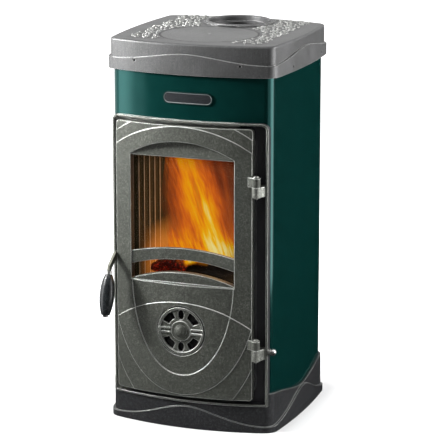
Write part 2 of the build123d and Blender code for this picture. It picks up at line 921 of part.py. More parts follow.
# Door casting
door_region = front_rectangle(door_left, door_right, door_bottom, door_top, door_corner)
door_half = (door_right - door_left) / 2 + 1
window_top = mouth_bottom + window_high
window_bottom = mouth_bottom + window_low
window_recess = arch_region(
    window_half, mouth_bottom + window_arch, mouth_bottom + window_crown, window_bottom
)
with BuildSketch() as window_opening:
    add(front_rectangle(door_x - window_half, door_x + window_half, window_bottom, window_top))
    add(
        arch_region(window_half, window_bottom + 2, window_bottom + sill_crown, window_bottom),
        mode=Mode.SUBTRACT,
    )
with BuildSketch() as window_bar:
    add(arch_region(window_half, mouth_bottom + bar_high, mouth_bottom + bar_high_crown,
                    window_bottom))
    add(
        arch_region(
            window_half, mouth_bottom + bar_low, mouth_bottom + bar_low_crown, window_bottom
        ),
        mode=Mode.SUBTRACT,
    )
window_box_region = front_rectangle(
    door_x - window_half - window_flange,
    door_x + window_half + window_flange,
    window_bottom - window_foot,
    window_top + window_head,
)
with BuildPart() as window_box:
    add(
        bowed_block(
            door_back_radius - depth / 4, door_back_radius + door_wall / 2, window_box_region
        )
    )
    add(front_prism(window_box_region, -depth, window_back_y), mode=Mode.INTERSECT)

with BuildSketch() as rope_region:
    add(
        front_rectangle(
            -mouth_half - rope_size,
            mouth_half + rope_size,
            mouth_bottom - rope_size,
            mouth_top + rope_size,
            lip_corner * 0.75,
        )
    )
    add(mouth_region, mode=Mode.SUBTRACT)
pocket_region = front_rectangle(
    -pocket_half, pocket_half, mouth_bottom + pocket_low, mouth_bottom + pocket_high, mouth_corner
)
upper_zone = arch_region(
    door_half,
    mouth_bottom + rosette_arch_ends,
    mouth_bottom + rosette_arch_crown,
    door_top + 1,
)
with BuildSketch() as apron_surround:
    add(
        front_rectangle(
            door_x - door_half, door_x + door_half, door_bottom - 1, mouth_bottom + apron_top
        )
    )
    add(
        shield_region(
            door_half, mouth_bottom + apron_low, mouth_bottom + apron_top, *apron_curve
        ),
        mode=Mode.SUBTRACT,
    )
with BuildSketch() as lower_corners:
    for hand in (1, -1):
        with BuildLine():
            start = (door_x + hand * corner_line_x, door_bottom - 1)
            end = (door_x + hand * door_half, mouth_bottom + corner_line_z)
            bulge = (
                (start[0] + end[0]) / 2 + hand * 2.5,
                (start[1] + end[1]) / 2 - 3,
            )
            ThreePointArc(start, bulge, end)
            Polyline(end, (end[0], start[1]), start)
        make_face()
shield = shield_region(
    shield_half, mouth_bottom + shield_low, window_bottom, *shield_curve
)
with BuildSketch() as upper_shield:
    add(shield)
    add(upper_zone, mode=Mode.INTERSECT)
top_band = arch_region(
    door_half, mouth_bottom + top_arch_ends, mouth_bottom + top_arch_crown, door_top + 1
)
top_corners = arch_region(
    door_half,
    mouth_bottom + top_arch_ends + top_arch_spacing,
    mouth_bottom + top_arch_crown + top_arch_spacing,
    mouth_bottom + top_arch_crown + 2 * top_arch_spacing,
)
rosette_height = mouth_bottom + rosette_z
rosette_seat_y = door_crown_y + rosette_seat
rosette_plane = facing_front(door_x, rosette_seat_y, rosette_height)


def port_shapes(lag, sweep, petal_turn, petal):
    # four windows and two petals, between the rosette's hub and its rim
    with BuildSketch() as ports:
        for angle in (45, 135, 225, 315):
            with BuildLine():
                start = angle + lag - sweep / 2
                outer = CenterArc((0, 0), port_outer_radius, start, sweep)
                inner = CenterArc((0, 0), port_inner_radius, start, sweep)
                Line(outer @ 0, inner @ 0)
                Line(outer @ 1, inner @ 1)
            make_face()
        fillet(ports.vertices(), 2.0)
        petal_length = port_outer_radius - petal_inner_radius
        with PolarLocations((port_outer_radius + petal_inner_radius) / 2, 2, 90 + petal_turn):
            Ellipse(petal_length / 2, petal / 2)
    return ports.sketch


inner_shield_low = mouth_bottom + pocket_low - 2 * inner_shield_screw_inset
inner_shield_high = mouth_bottom + pocket_high + 2 * inner_shield_screw_inset - 6
inner_shield_back = door_back_radius - seat_gap - inner_shield_wall
inner_shield_places = [
    behind_front(inner_shield_back - touch_gap, x, z)
    for x in (-inner_shield_screw_x, inner_shield_screw_x)
    for z in (
        mouth_bottom + pocket_low + inner_shield_screw_inset,
        mouth_bottom + pocket_high - inner_shield_screw_inset,
    )
]
glass_bottom = window_bottom - glass_lap - 2
glass_top = window_top + glass_rail_lap
clip_rows = (
    (glass_bottom - touch_gap * 10, -1),
    (glass_top + touch_gap * 10, 1),
)
clip_screw_places = [
    facing_back(
        door_x + hand * clip_spread,
        window_back_y + gasket_wall + glass_wall + clip_wall + touch_gap,
        edge + side * clip_foot / 2,
    )
    for edge, side in clip_rows
    for hand in (-1, 1)
]
clip_screw_shank = clip_screw_length + gasket_wall + glass_wall
latch_pin_place = Plane(
    origin=(lever_left - touch_gap, latch_y, latch_height), x_dir=(0, 1, 0), z_dir=(-1, 0, 0)
)
knuckle_floors = (
    lower_lug_bottom + lower_lug_height + seat_gap,
    upper_lug_bottom + lug_height + seat_gap,
)
with BuildPart() as door_casting:
    add(bowed_block(door_back_radius, door_front_radius, door_region))
    for region, sunk in (
        (upper_zone, relief_step),
        (apron_surround.sketch, relief_step),
        (lower_corners.sketch, 2 * relief_step),
        (top_band, 2 * relief_step),
        (top_corners, 3 * relief_step),
        (shield, panel_sunk),
        (upper_shield.sketch, relief_step + panel_sunk),
    ):
        add(
            bowed_block(door_front_radius - sunk, door_front_radius + 1, region),
            mode=Mode.SUBTRACT,
        )
    add(window_box.part)
    add(front_prism(window_recess, -depth, window_y), mode=Mode.SUBTRACT)
    add(front_prism(window_opening.sketch, -depth, 0), mode=Mode.SUBTRACT)
    add(front_prism(window_bar.sketch, window_y, window_y + bar_wall))
    # pocket behind the rosette
    add(
        bowed_block(
            door_back_radius - 1, door_front_radius - pocket_wall, pocket_region
        ),
        mode=Mode.SUBTRACT,
    )
    with Locations(rosette_plane):
        Cylinder(rosette_cup_radius, rosette_seat_wall, align=top_align)
        Cylinder(rosette_recess_radius, depth, align=bottom_align, mode=Mode.SUBTRACT)
    with BuildSketch(rosette_plane):
        add(port_shapes(-port_lag, seat_port_angle, -petal_lag, seat_petal_width))
        Circle(rosette_bolt_radius + touch_gap)
    extrude(amount=-2 * rosette_seat_wall, mode=Mode.SUBTRACT)
    # hinge knuckles
    for floor in knuckle_floors:
        with BuildSketch(Plane.XY.offset(floor)):
            with Locations(pin_place):
                Circle(knuckle_radius)
            with BuildLine():
                Polyline(
                    (door_right - 2 * door_corner, front_y(door_front_radius - 2, door_right)),
                    (pin_x, pin_y - knuckle_radius),
                    (pin_x, pin_y + knuckle_radius),
                    (door_right - door_corner, front_y(door_back_radius + 3, door_right)),
                    (door_right - 2 * door_corner, front_y(door_back_radius + 4, door_right)),
                    close=True,
                )
            make_face()
        extrude(amount=knuckle_height)
        with Locations((pin_x, pin_y, floor)):
            Cylinder(
                pin_radius + pin_gap, knuckle_height, align=bottom_align, mode=Mode.SUBTRACT
            )
    # rope groove
    add(
        bowed_block(door_back_radius - 1, door_back_radius + rope_sunk, rope_region.sketch),
        mode=Mode.SUBTRACT,
    )
    # pin hole for the latch lever
    with Locations(latch_pin_place):
        Cylinder(latch_pin_radius + touch_gap, latch_pin_length, align=top_align,
                 mode=Mode.SUBTRACT)
    add(screw_holes(clip_screw_places, clip_screw_radius, clip_screw_shank), mode=Mode.SUBTRACT)
    add(
        screw_holes(inner_shield_places, clip_screw_radius, clip_screw_length),
        mode=Mode.SUBTRACT,
    )
save(door_casting, "door_casting")

with BuildPart() as door_rope_seal:
    add(bowed_block(rope_back_radius, door_back_radius + rope_sunk, rope_region.sketch))
save(door_rope_seal, "door_rope_seal")

# Inner heat shield over the pocket, with a row of air slots along its foot
with BuildSketch() as inner_shield_region:
    add(
        front_rectangle(
            -inner_shield_half, inner_shield_half, inner_shield_low, inner_shield_high,
            mouth_corner,
        )
    )
    with Locations((0, mouth_bottom + pocket_low + 2 * inner_shield_slot_height)):
        with GridLocations(1.4 * inner_shield_slot_length, 1, inner_shield_slots, 1):
            Rectangle(
                inner_shield_slot_length, inner_shield_slot_height, mode=Mode.SUBTRACT
            )
    with Locations((door_x, rosette_height)):
        Circle(2 * rosette_nut_radius, mode=Mode.SUBTRACT)
with BuildPart() as door_inner_shield:
    add(
        bowed_block(
            inner_shield_back, door_back_radius - seat_gap, inner_shield_region.sketch
        )
    )
    add(
        screw_holes(inner_shield_places, clip_screw_radius, clip_screw_length),
        mode=Mode.SUBTRACT,
    )
save(door_inner_shield, "door_inner_shield")

with BuildPart() as inner_shield_screws:
    add(
        screws(
            inner_shield_places,
            clip_screw_head,
            clip_screw_head_height,
            clip_screw_radius,
            clip_screw_length,
        )
    )
save(inner_shield_screws, "inner_shield_screws")

# Window glass, its gasket and the clips that hold it
glass_region = front_rectangle(
    door_x - window_half - glass_lap, door_x + window_half + glass_lap, glass_bottom, glass_top
)
with BuildSketch() as gasket_region:
    add(glass_region)
    add(front_rectangle(door_x - window_half, door_x + window_half, window_bottom + 2,
                        window_top), mode=Mode.SUBTRACT)
with BuildPart() as glass_gasket:
    add(front_prism(gasket_region.sketch, window_back_y, window_back_y + gasket_wall))
save(glass_gasket, "glass_gasket")

with BuildPart() as window_glass:
    add(
        front_prism(
            glass_region, window_back_y + gasket_wall, window_back_y + gasket_wall + glass_wall
        )
    )
save(window_glass, "window_glass")

glass_back_y = window_back_y + gasket_wall + glass_wall
with BuildPart() as glass_clips:
    for edge, side in clip_rows:
        for hand in (-1, 1):
            x = door_x + hand * clip_spread
            foot = sorted((edge, edge + side * clip_foot))
            tongue = sorted((edge - side * clip_tongue, edge + side * clip_foot))
            left, right = x - clip_width / 2, x + clip_width / 2
            add(
                front_prism(
                    front_rectangle(left, right, *foot), window_back_y, glass_back_y + clip_wall
                )
            )
            add(
                front_prism(
                    front_rectangle(left, right, *tongue),
                    glass_back_y + touch_gap,
                    glass_back_y + clip_wall,
                )
            )
    add(screw_holes(clip_screw_places, clip_screw_radius, clip_screw_shank), mode=Mode.SUBTRACT)
save(glass_clips, "glass_clips")

with BuildPart() as glass_clip_screws:
    add(
        screws(
            clip_screw_places,
            clip_screw_head,
            clip_screw_head_height,
            clip_screw_radius,
            clip_screw_shank,
        )
    )
save(glass_clip_screws, "glass_clip_screws")

# Air rosette: a turning disc held by a domed bolt and a nut
with BuildPart() as air_disc:
    front = rosette_plane.offset(seat_gap)
    with BuildSketch(front):
        Circle(rosette_radius)
        Circle(rosette_bolt_radius + rosette_bolt_gap, mode=Mode.SUBTRACT)
    extrude(amount=rosette_wall)
    face = rosette_plane.offset(seat_gap + rosette_wall)
    with BuildSketch(face):
        Circle(rosette_radius)
        Circle(rosette_radius - rosette_rim_width, mode=Mode.SUBTRACT)
    extrude(amount=rosette_rim_height)
    with BuildSketch(face):
        Circle(rosette_hub_radius)
        Circle(rosette_bolt_radius + rosette_bolt_gap, mode=Mode.SUBTRACT)
    extrude(amount=rosette_hub_height)
    # paired finger ribs at the two solid sectors
    with BuildSketch(face):
        for hand in (1, -1):
            for lift in (-finger_rib_spread, finger_rib_spread):
                with Locations((hand * (rosette_hub_radius + rosette_radius) / 2, lift)):
                    Rectangle(rosette_radius - rosette_hub_radius - finger_rib_wall,
                              finger_rib_wall)
    extrude(amount=rosette_grip_height)
    with BuildSketch(front):
        add(port_shapes(0, port_angle, 0, petal_width))
    extrude(amount=rosette_wall + rosette_rim_height, mode=Mode.SUBTRACT)
save(air_disc, "air_disc")

knob_stand = seat_gap * 2 + rosette_wall + rosette_hub_height
knob_plane = rosette_plane.offset(knob_stand)
bolt_length = knob_stand + rosette_seat_wall + rosette_nut_height
with BuildPart() as air_disc_bolt:
    with BuildSketch(Plane.XZ) as bolt_section:
        with BuildLine():
            dome = TangentArc(
                (0, rosette_knob_rim + rosette_knob_height),
                (rosette_knob_radius, rosette_knob_rim),
                tangent=(1, 0),
            )
            Polyline(
                dome @ 1,
                (rosette_knob_radius, 0),
                (rosette_bolt_radius, 0),
                (rosette_bolt_radius, -bolt_length),
                (0, -bolt_length),
                dome @ 0,
            )
        make_face()
    revolve(axis=Axis.Z)
bolt_part = knob_plane.location * air_disc_bolt.part
with BuildPart() as air_disc_bolt_placed:
    add(bolt_part)
save(air_disc_bolt_placed, "air_disc_bolt")

with BuildPart() as air_disc_nut:
    with BuildSketch(rosette_plane.offset(-rosette_seat_wall)):
        RegularPolygon(rosette_nut_radius, 6)
        Circle(rosette_bolt_radius, mode=Mode.SUBTRACT)
    extrude(amount=-rosette_nut_height)
save(air_disc_nut, "air_disc_nut")

# Latch lever, drawn in the side view, with its hook at the back and the spindle's eye in front
spindle_y = latch_y - lever_reach
spindle_z = latch_height - lever_drop
eye_reach = ferrule_radius * cos(radians(grip_lean))
eye_rise = ferrule_radius * sin(radians(grip_lean))
hook_y = latch_y + hook_back
with BuildPart() as latch_lever:
    with BuildSketch(Plane.YZ.offset(lever_left)) as lever_profile:
        with BuildLine():
            Polyline(
                (latch_y + lever_boss_radius * 0.7, latch_height + lever_boss_radius * 0.7),
                (latch_y, latch_height + lever_boss_radius),
                (latch_y - lever_boss_radius, latch_height + lever_boss_radius * 0.9),
                (spindle_y - lever_tip * 0.4, spindle_z + 2.4 * lever_tip),
                (spindle_y - eye_reach, spindle_z + eye_rise),
                (spindle_y + eye_reach, spindle_z - eye_rise),
                (spindle_y + eye_reach + lever_tip, spindle_z + lever_tip),
                (latch_y - lever_boss_radius, latch_height - lever_boss_radius),
                (latch_y, latch_height - lever_boss_radius),
                (hook_y, latch_height - lever_boss_radius + 2),
                (hook_y, latch_height + hook_rise),
                (hook_y - hook_beak, latch_height + hook_rise),
                (hook_y - hook_beak - 2, latch_height),
                close=True,
            )
        make_face()
        with Locations((latch_y, latch_height)):
            Circle(lever_boss_radius)
            Circle(latch_pin_radius + pin_gap, mode=Mode.SUBTRACT)
    extrude(amount=lever_wall)
save(latch_lever, "latch_lever")

with BuildPart() as latch_pin:
    with Locations(latch_pin_place):
        Cylinder(latch_pin_head_radius, latch_pin_head_wall, align=bottom_align)
        Cylinder(latch_pin_radius, latch_pin_length, align=top_align)
save(latch_pin, "latch_pin")

grip_direction = Vector(0, -1, 0).rotate(Axis.X, 90 - grip_lean)
grip_plane = Plane(
    origin=((lever_left + lever_right) / 2, spindle_y, spindle_z),
    x_dir=(1, 0, 0),
    z_dir=grip_direction,
)
with BuildPart() as grip_spindle:
    with BuildSketch(grip_plane):
        Circle(spindle_radius)
    extrude(amount=ferrule_length + grip_length + grip_nut_height + 1)
save(grip_spindle, "grip_spindle")

with BuildPart() as grip_ferrule:
    with BuildSketch(grip_plane):
        Circle(ferrule_radius)
        Circle(spindle_radius, mode=Mode.SUBTRACT)
    extrude(amount=ferrule_length)
save(grip_ferrule, "grip_ferrule")

with BuildPart() as grip_body:
    with BuildSketch(Plane.XZ):
        with BuildLine():
            Line((grip_bore_radius, 0), (grip_top_radius, 0))
            Spline(
                (grip_top_radius, 0),
                (grip_belly_radius, grip_length * 0.45),
                (grip_end_radius, grip_length),
                tangents=((0.5, 1), (-0.35, 1)),
            )
            Polyline(
                (grip_end_radius, grip_length),
                (grip_bore_radius, grip_length),
                (grip_bore_radius, 0),
            )
        make_face()
    revolve(axis=Axis.Z)
grip_part = grip_plane.offset(ferrule_length + touch_gap).location * grip_body.part
with BuildPart() as handle_grip:
    add(grip_part)
save(handle_grip, "handle_grip")

with BuildPart() as grip_nut:
    with BuildSketch(grip_plane.offset(ferrule_length + grip_length + 2 * touch_gap)):
        RegularPolygon(grip_nut_radius, 6)
        Circle(spindle_radius, mode=Mode.SUBTRACT)
    extrude(amount=grip_nut_height)
save(grip_nut, "grip_nut")

# Firebox: steel plates, with a ledge on each side for the hearth plate and an ash floor
firebox_space = bowed_strip(
    frame_back_radius - depth, frame_back_radius - touch_gap, -firebox_half, firebox_half
)
inner_half = firebox_half - firebox_wall
inner_back_y = firebox_back_y - firebox_wall
hearth_under = mouth_bottom + hearth_height
for hand, name in ((-1, "firebox_left"), (1, "firebox_right")):
    with BuildPart() as firebox_side:
        with BuildSketch(Plane.XY.offset(deck_top)):
            with Locations((hand * (firebox_half - firebox_wall / 2), 0)):
                Rectangle(firebox_wall, 2 * firebox_back_y)
            add(firebox_space, mode=Mode.INTERSECT)
        extrude(amount=plate_under - deck_top)
        with BuildSketch(Plane.XY.offset(hearth_under)):
            with Locations((hand * (inner_half - ledge_width / 2), 0)):
                Rectangle(ledge_width, 2 * inner_back_y)
            add(firebox_space, mode=Mode.INTERSECT)
        extrude(amount=-firebox_wall)
    save(firebox_side, name)

with BuildPart() as firebox_back:
    with Locations((0, firebox_back_y - firebox_wall / 2, deck_top)):
        Box(2 * inner_half, firebox_wall, plate_under - deck_top, align=bottom_align)
    # the flue socket dips into the back wall
    with Locations((0, flue_y, socket_floor - flue_ledge_wall - seat_gap)):
        Cylinder(
            spigot_radius + seat_gap, skirt_height, align=bottom_align, mode=Mode.SUBTRACT
        )
save(firebox_back, "firebox_back")

with BuildPart() as ash_floor:
    with BuildSketch(Plane.XY.offset(mouth_bottom)):
        Rectangle(2 * inner_half, 2 * inner_back_y)
        add(firebox_space, mode=Mode.INTERSECT)
    extrude(amount=-firebox_wall)
save(ash_floor, "ash_floor")

with BuildPart() as hearth_plate:
    with BuildSketch(Plane.XY.offset(hearth_under)):
        with Locations((0, (inner_back_y + front_y(frame_back_radius, inner_half)) / 2)):
            Rectangle(
                2 * (inner_half - seat_gap),
                inner_back_y - front_y(frame_back_radius, inner_half) - 2 * seat_gap,
            )
        add(
            bowed_strip(
                frame_back_radius - depth / 4,
                door_back_radius - 2 * hearth_tongue_gap,
                -mouth_half + hearth_tongue_gap,
                mouth_half - hearth_tongue_gap,
            )
        )
    extrude(amount=hearth_wall)
    with BuildSketch(Plane.XY.offset(hearth_under)):
        Rectangle(grate_side - 2 * grate_seat_width, grate_side - 2 * grate_seat_width)
    extrude(amount=hearth_wall, mode=Mode.SUBTRACT)
    with BuildSketch(Plane.XY.offset(hearth_top)):
        Rectangle(grate_side + 2 * seat_gap, grate_side + 2 * seat_gap)
    extrude(amount=-grate_rebate, mode=Mode.SUBTRACT)
save(hearth_plate, "hearth_plate")

with BuildPart() as grate:
    with BuildSketch(Plane.XY.offset(hearth_top - grate_rebate)):
        Rectangle(grate_side, grate_side)
        with GridLocations(grate_slot_pitch, 1, grate_slots, 1):
            Rectangle(
                grate_slot_width, grate_side - 3 * grate_seat_width, mode=Mode.SUBTRACT
            )
    extrude(amount=grate_wall)
save(grate, "grate")

# Ribbed cast liners at the sides and the back
liner_outer = inner_half - seat_gap
liner_front_y = rib_first_y - rib_radius
last_rib_y = inner_back_y - liner_wall - 3 * rib_radius
for hand, name in ((-1, "liner_left"), (1, "liner_right")):
    with BuildPart() as liner:
        with BuildSketch(Plane.XY.offset(hearth_top)):
            with Locations(
                (hand * (liner_outer - liner_wall / 2), (inner_back_y + liner_front_y) / 2)
            ):
                Rectangle(liner_wall, inner_back_y - liner_front_y - 2 * seat_gap)
        extrude(amount=liner_top - hearth_top)
        with BuildSketch(Plane.XY.offset(hearth_top + rib_margin)):
            for rib in range(int((last_rib_y - rib_first_y) / rib_pitch) + 1):
                with Locations((hand * (liner_outer - liner_wall), rib_first_y + rib * rib_pitch)):
                    RegularPolygon(rib_radius, 8)
        extrude(amount=liner_top - hearth_top - 2 * rib_margin)
    save(liner, name)

with BuildPart() as liner_back:
    back_half = liner_outer - liner_wall - seat_gap
    with BuildSketch(Plane.XY.offset(hearth_top)):
        with Locations((0, inner_back_y - seat_gap - liner_wall / 2)):
            Rectangle(2 * back_half, liner_wall)
    extrude(amount=liner_top - hearth_top)
    with BuildSketch(Plane.XY.offset(hearth_top + rib_margin)):
        with Locations((0, inner_back_y - seat_gap - liner_wall)):
            with GridLocations(rib_pitch, 1, back_rib_count, 1):
                RegularPolygon(rib_radius, 8)
    extrude(amount=liner_top - hearth_top - 2 * rib_margin)
save(liner_back, "liner_back")

with BuildPart() as baffle:
    with BuildSketch(Plane.XY.offset(liner_top)):
        with Locations((0, (baffle_front_y + inner_back_y - 2 * seat_gap) / 2)):
            Rectangle(2 * (liner_outer - 1), inner_back_y - 2 * seat_gap - baffle_front_y)
    extrude(amount=baffle_wall)
save(baffle, "baffle")

# Ash pan folded from sheet, with a bail at the front
with BuildPart() as ash_pan:
    with BuildSketch(Plane.XY.offset(mouth_bottom)) as pan_outline:
        with Locations((0, (pan_front_y + pan_back_y) / 2)):
            Rectangle(2 * pan_half, pan_back_y - pan_front_y)
    extrude(amount=pan_height)
    with BuildSketch(Plane.XY.offset(mouth_bottom + pan_wall)):
        with Locations((0, (pan_front_y + pan_back_y) / 2)):
            Rectangle(2 * (pan_half - pan_wall), pan_back_y - pan_front_y - 2 * pan_wall)
    extrude(amount=pan_height, mode=Mode.SUBTRACT)
save(ash_pan, "ash_pan")

with BuildPart() as ash_pan_bail:
    with BuildSketch(Plane.XY.offset(mouth_bottom + pan_bail_height)):
        with Locations((0, pan_front_y - pan_bail_reach / 2)):
            Rectangle(2 * pan_bail_half, pan_bail_reach)
        with Locations((0, pan_front_y - (pan_bail_reach - pan_bail_wall) / 2)):
            Rectangle(
                2 * (pan_bail_half - pan_bail_wall),
                pan_bail_reach - pan_bail_wall,
                mode=Mode.SUBTRACT,
            )
    extrude(amount=pan_bail_wall)
save(ash_pan_bail, "ash_pan_bail")

# Bare badge plate with a raised rim
with BuildSketch() as badge_region:
    with Locations((badge_x, badge_z)):
        SlotOverall(badge_length, badge_height)
with BuildSketch() as badge_rim_region:
    add(badge_region.sketch)
    with Locations((badge_x, badge_z)):
        SlotOverall(
            badge_length - 2 * badge_rim, badge_height - 2 * badge_rim, mode=Mode.SUBTRACT
        )
with BuildPart() as badge_plate:
    badge_back = skin_radius + touch_gap
    add(bowed_block(badge_back, badge_back + badge_wall, badge_region.sketch))
    add(
        bowed_block(
            badge_back + badge_wall / 2,
            badge_back + badge_wall + badge_rim_proud,
            badge_rim_region.sketch,
        )
    )
save(badge_plate, "badge_plate")
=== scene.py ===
import math
import random
import bpy
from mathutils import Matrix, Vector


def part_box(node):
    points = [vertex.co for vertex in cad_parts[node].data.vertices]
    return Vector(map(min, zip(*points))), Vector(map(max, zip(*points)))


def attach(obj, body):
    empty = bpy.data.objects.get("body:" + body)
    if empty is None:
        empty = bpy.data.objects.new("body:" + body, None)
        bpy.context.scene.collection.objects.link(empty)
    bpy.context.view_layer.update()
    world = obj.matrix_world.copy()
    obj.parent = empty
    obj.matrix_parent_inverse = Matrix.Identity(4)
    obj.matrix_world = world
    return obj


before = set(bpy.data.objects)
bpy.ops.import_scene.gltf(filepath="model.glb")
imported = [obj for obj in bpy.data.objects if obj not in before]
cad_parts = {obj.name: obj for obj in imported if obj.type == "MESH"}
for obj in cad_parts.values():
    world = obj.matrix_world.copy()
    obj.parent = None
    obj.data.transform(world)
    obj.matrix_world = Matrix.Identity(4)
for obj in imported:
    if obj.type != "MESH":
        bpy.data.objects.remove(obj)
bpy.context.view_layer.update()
print("frame loaded:", len(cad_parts), "CAD nodes")


# Shader values as plain expressions

class Feed:
    # wraps one shader output; a sum or product on it adds a Math node
    def __init__(self, tree, socket):
        self.tree = tree
        self.socket = socket

    def maths(self, operation, first, second=0.0):
        node = self.tree.nodes.new("ShaderNodeMath")
        node.operation = operation
        for place, value in enumerate((first, second)):
            if isinstance(value, Feed):
                self.tree.links.new(value.socket, node.inputs[place])
            else:
                node.inputs[place].default_value = value
        return Feed(self.tree, node.outputs[0])

    def __add__(self, other):
        return self.maths("ADD", self, other)

    def __radd__(self, other):
        return self.maths("ADD", other, self)

    def __sub__(self, other):
        return self.maths("SUBTRACT", self, other)

    def __rsub__(self, other):
        return self.maths("SUBTRACT", other, self)

    def __mul__(self, other):
        return self.maths("MULTIPLY", self, other)

    def __rmul__(self, other):
        return self.maths("MULTIPLY", other, self)

    def __truediv__(self, other):
        return self.maths("DIVIDE", self, other)

    def __pow__(self, other):
        return self.maths("POWER", self, other)

    def __abs__(self):
        return self.maths("ABSOLUTE", self)

    def clip(self, low=0.0, high=1.0):
        return self.maths("MINIMUM", self.maths("MAXIMUM", self, low), high)

    def exp(self):
        return self.maths("EXPONENT", self)

    def sine(self):
        return self.maths("SINE", self)


class Finish:
    # one material and the few ways its nodes are added
    def __init__(self, name):
        self.material = bpy.data.materials.new(name)
        self.material.use_nodes = True
        self.tree = self.material.node_tree
        self.shader = self.tree.nodes["Principled BSDF"]
        self.place = self.add("ShaderNodeTexCoord", out="Object")

    def add(self, kind, settings=None, sockets=None, out=0):
        node = self.tree.nodes.new(kind)
        for name, value in (settings or {}).items():
            if name == "stops":
                ramp = node.color_ramp
                while len(ramp.elements) < len(value):
                    ramp.elements.new(0.5)
                for element, (position, colour) in zip(ramp.elements, value):
                    element.position = position
                    element.color = (*colour, 1.0)
            else:
                setattr(node, name, value)
        for name, value in (sockets or {}).items():
            self.feed(node.inputs[name], value)
        return Feed(self.tree, node.outputs[out])

    def feed(self, socket, value):
        if isinstance(value, Feed):
            self.tree.links.new(value.socket, socket)
        else:
            socket.default_value = value

    def set(self, **values):
        names = {"colour": "Base Color", "rough": "Roughness", "metal": "Metallic",
                 "alpha": "Alpha", "specular": "Specular IOR Level",
                 "sheenTint": "Specular Tint", "normal": "Normal",
                 "glow": "Emission Color", "glowPower": "Emission Strength"}
        for name, value in values.items():
            if name in ("colour", "glow", "sheenTint") and not isinstance(value, Feed):
                value = (*value, 1.0)
            self.feed(self.shader.inputs[names[name]], value)

    def axes(self):
        parts = self.add("ShaderNodeSeparateXYZ", None, {0: self.place})
        node = parts.socket.node
        return [Feed(self.tree, node.outputs[k]) for k in range(3)]

    def stretched(self, scale):
        return self.add("ShaderNodeMapping", None, {"Vector": self.place, "Scale": scale})

    def noise(self, scale, detail=3.0, rough=0.5, place=None):
        return self.add("ShaderNodeTexNoise", None,
                        {"Vector": place or self.place, "Scale": scale, "Detail": detail,
                         "Roughness": rough})

    def cells(self, scale, feature="F1", place=None):
        return self.add("ShaderNodeTexVoronoi", {"feature": feature},
                        {"Vector": place or self.place, "Scale": scale})

    def ramp(self, mask, *stops):
        return self.add("ShaderNodeValToRGB", {"stops": stops}, {0: mask})

    def joined(self, x, y, z):
        return self.add("ShaderNodeCombineXYZ", None, {0: x, 1: y, 2: z})

    def mix(self, mask, first, second):
        first, second = [v if isinstance(v, Feed) else (*v, 1.0) for v in (first, second)]
        return self.add("ShaderNodeMix", {"data_type": "RGBA"}, {0: mask, 6: first, 7: second},
                        out=2)

    def softEdges(self, radius):
        return self.add("ShaderNodeBevel", {"samples": 4}, {"Radius": radius})

    def edgeMask(self, rounded, gain):
        plain = self.add("ShaderNodeNewGeometry", out="Normal")
        facing = self.add("ShaderNodeVectorMath", {"operation": "DOT_PRODUCT"},
                          {0: rounded, 1: plain}, out="Value")
        return ((1.0 - facing) * gain).clip()

    def bump(self, height, depth, strength=1.0, below=None):
        sockets = {"Height": height, "Distance": depth, "Strength": strength}
        if below is not None:
            sockets["Normal"] = below
        return self.add("ShaderNodeBump", None, sockets)


def middleOf(node):
    # centre of a CAD node's box
    low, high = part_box(node)
    return (low + high) / 2


# Finishes of the stove

castLook = {
    "doorColour": (0.052, 0.055, 0.047),   # anthracite paint with a little metal in it
    "trayShade": (0.026, 0.026, 0.029),   # painted shade on the frame's sunken floor beside the hinges
    "hingeSide": 0.10,                     # where that painted shade begins
    "gapPaintedLight": (0.55, 0.56, 0.53),       # and painted light on its margin outside the door, where the gap lies in shade
    "doorLeft": 0.1635, "doorTop": 0.6665,
    "portSootAndShade": (0.004, 0.004, 0.004),   # soot and painted shade in the cup behind the air disc
    "plinthColour": (0.024, 0.0245, 0.026),
    "hingeColour": (0.15, 0.155, 0.14),
    # lighter colour for the edges: edge wear and a painted highlight
    "edgeWearAndHighlight": (0.72, 0.74, 0.70),
    "lighter": 2.6, "darker": 0.50,        # how far the grain strays from the paint's colour
    "grain": 0.0011,                       # size of the sand-cast pebbling, in metres
    "edgeRound": 0.0024,
    "bowCentre": 0.384, "trayRadius": 0.5862,    # the tray's floor is bowed about this axis
    "portReach": 0.0485, "cupFloor": -0.2062,    # radius and depth of the air disc's cup
}


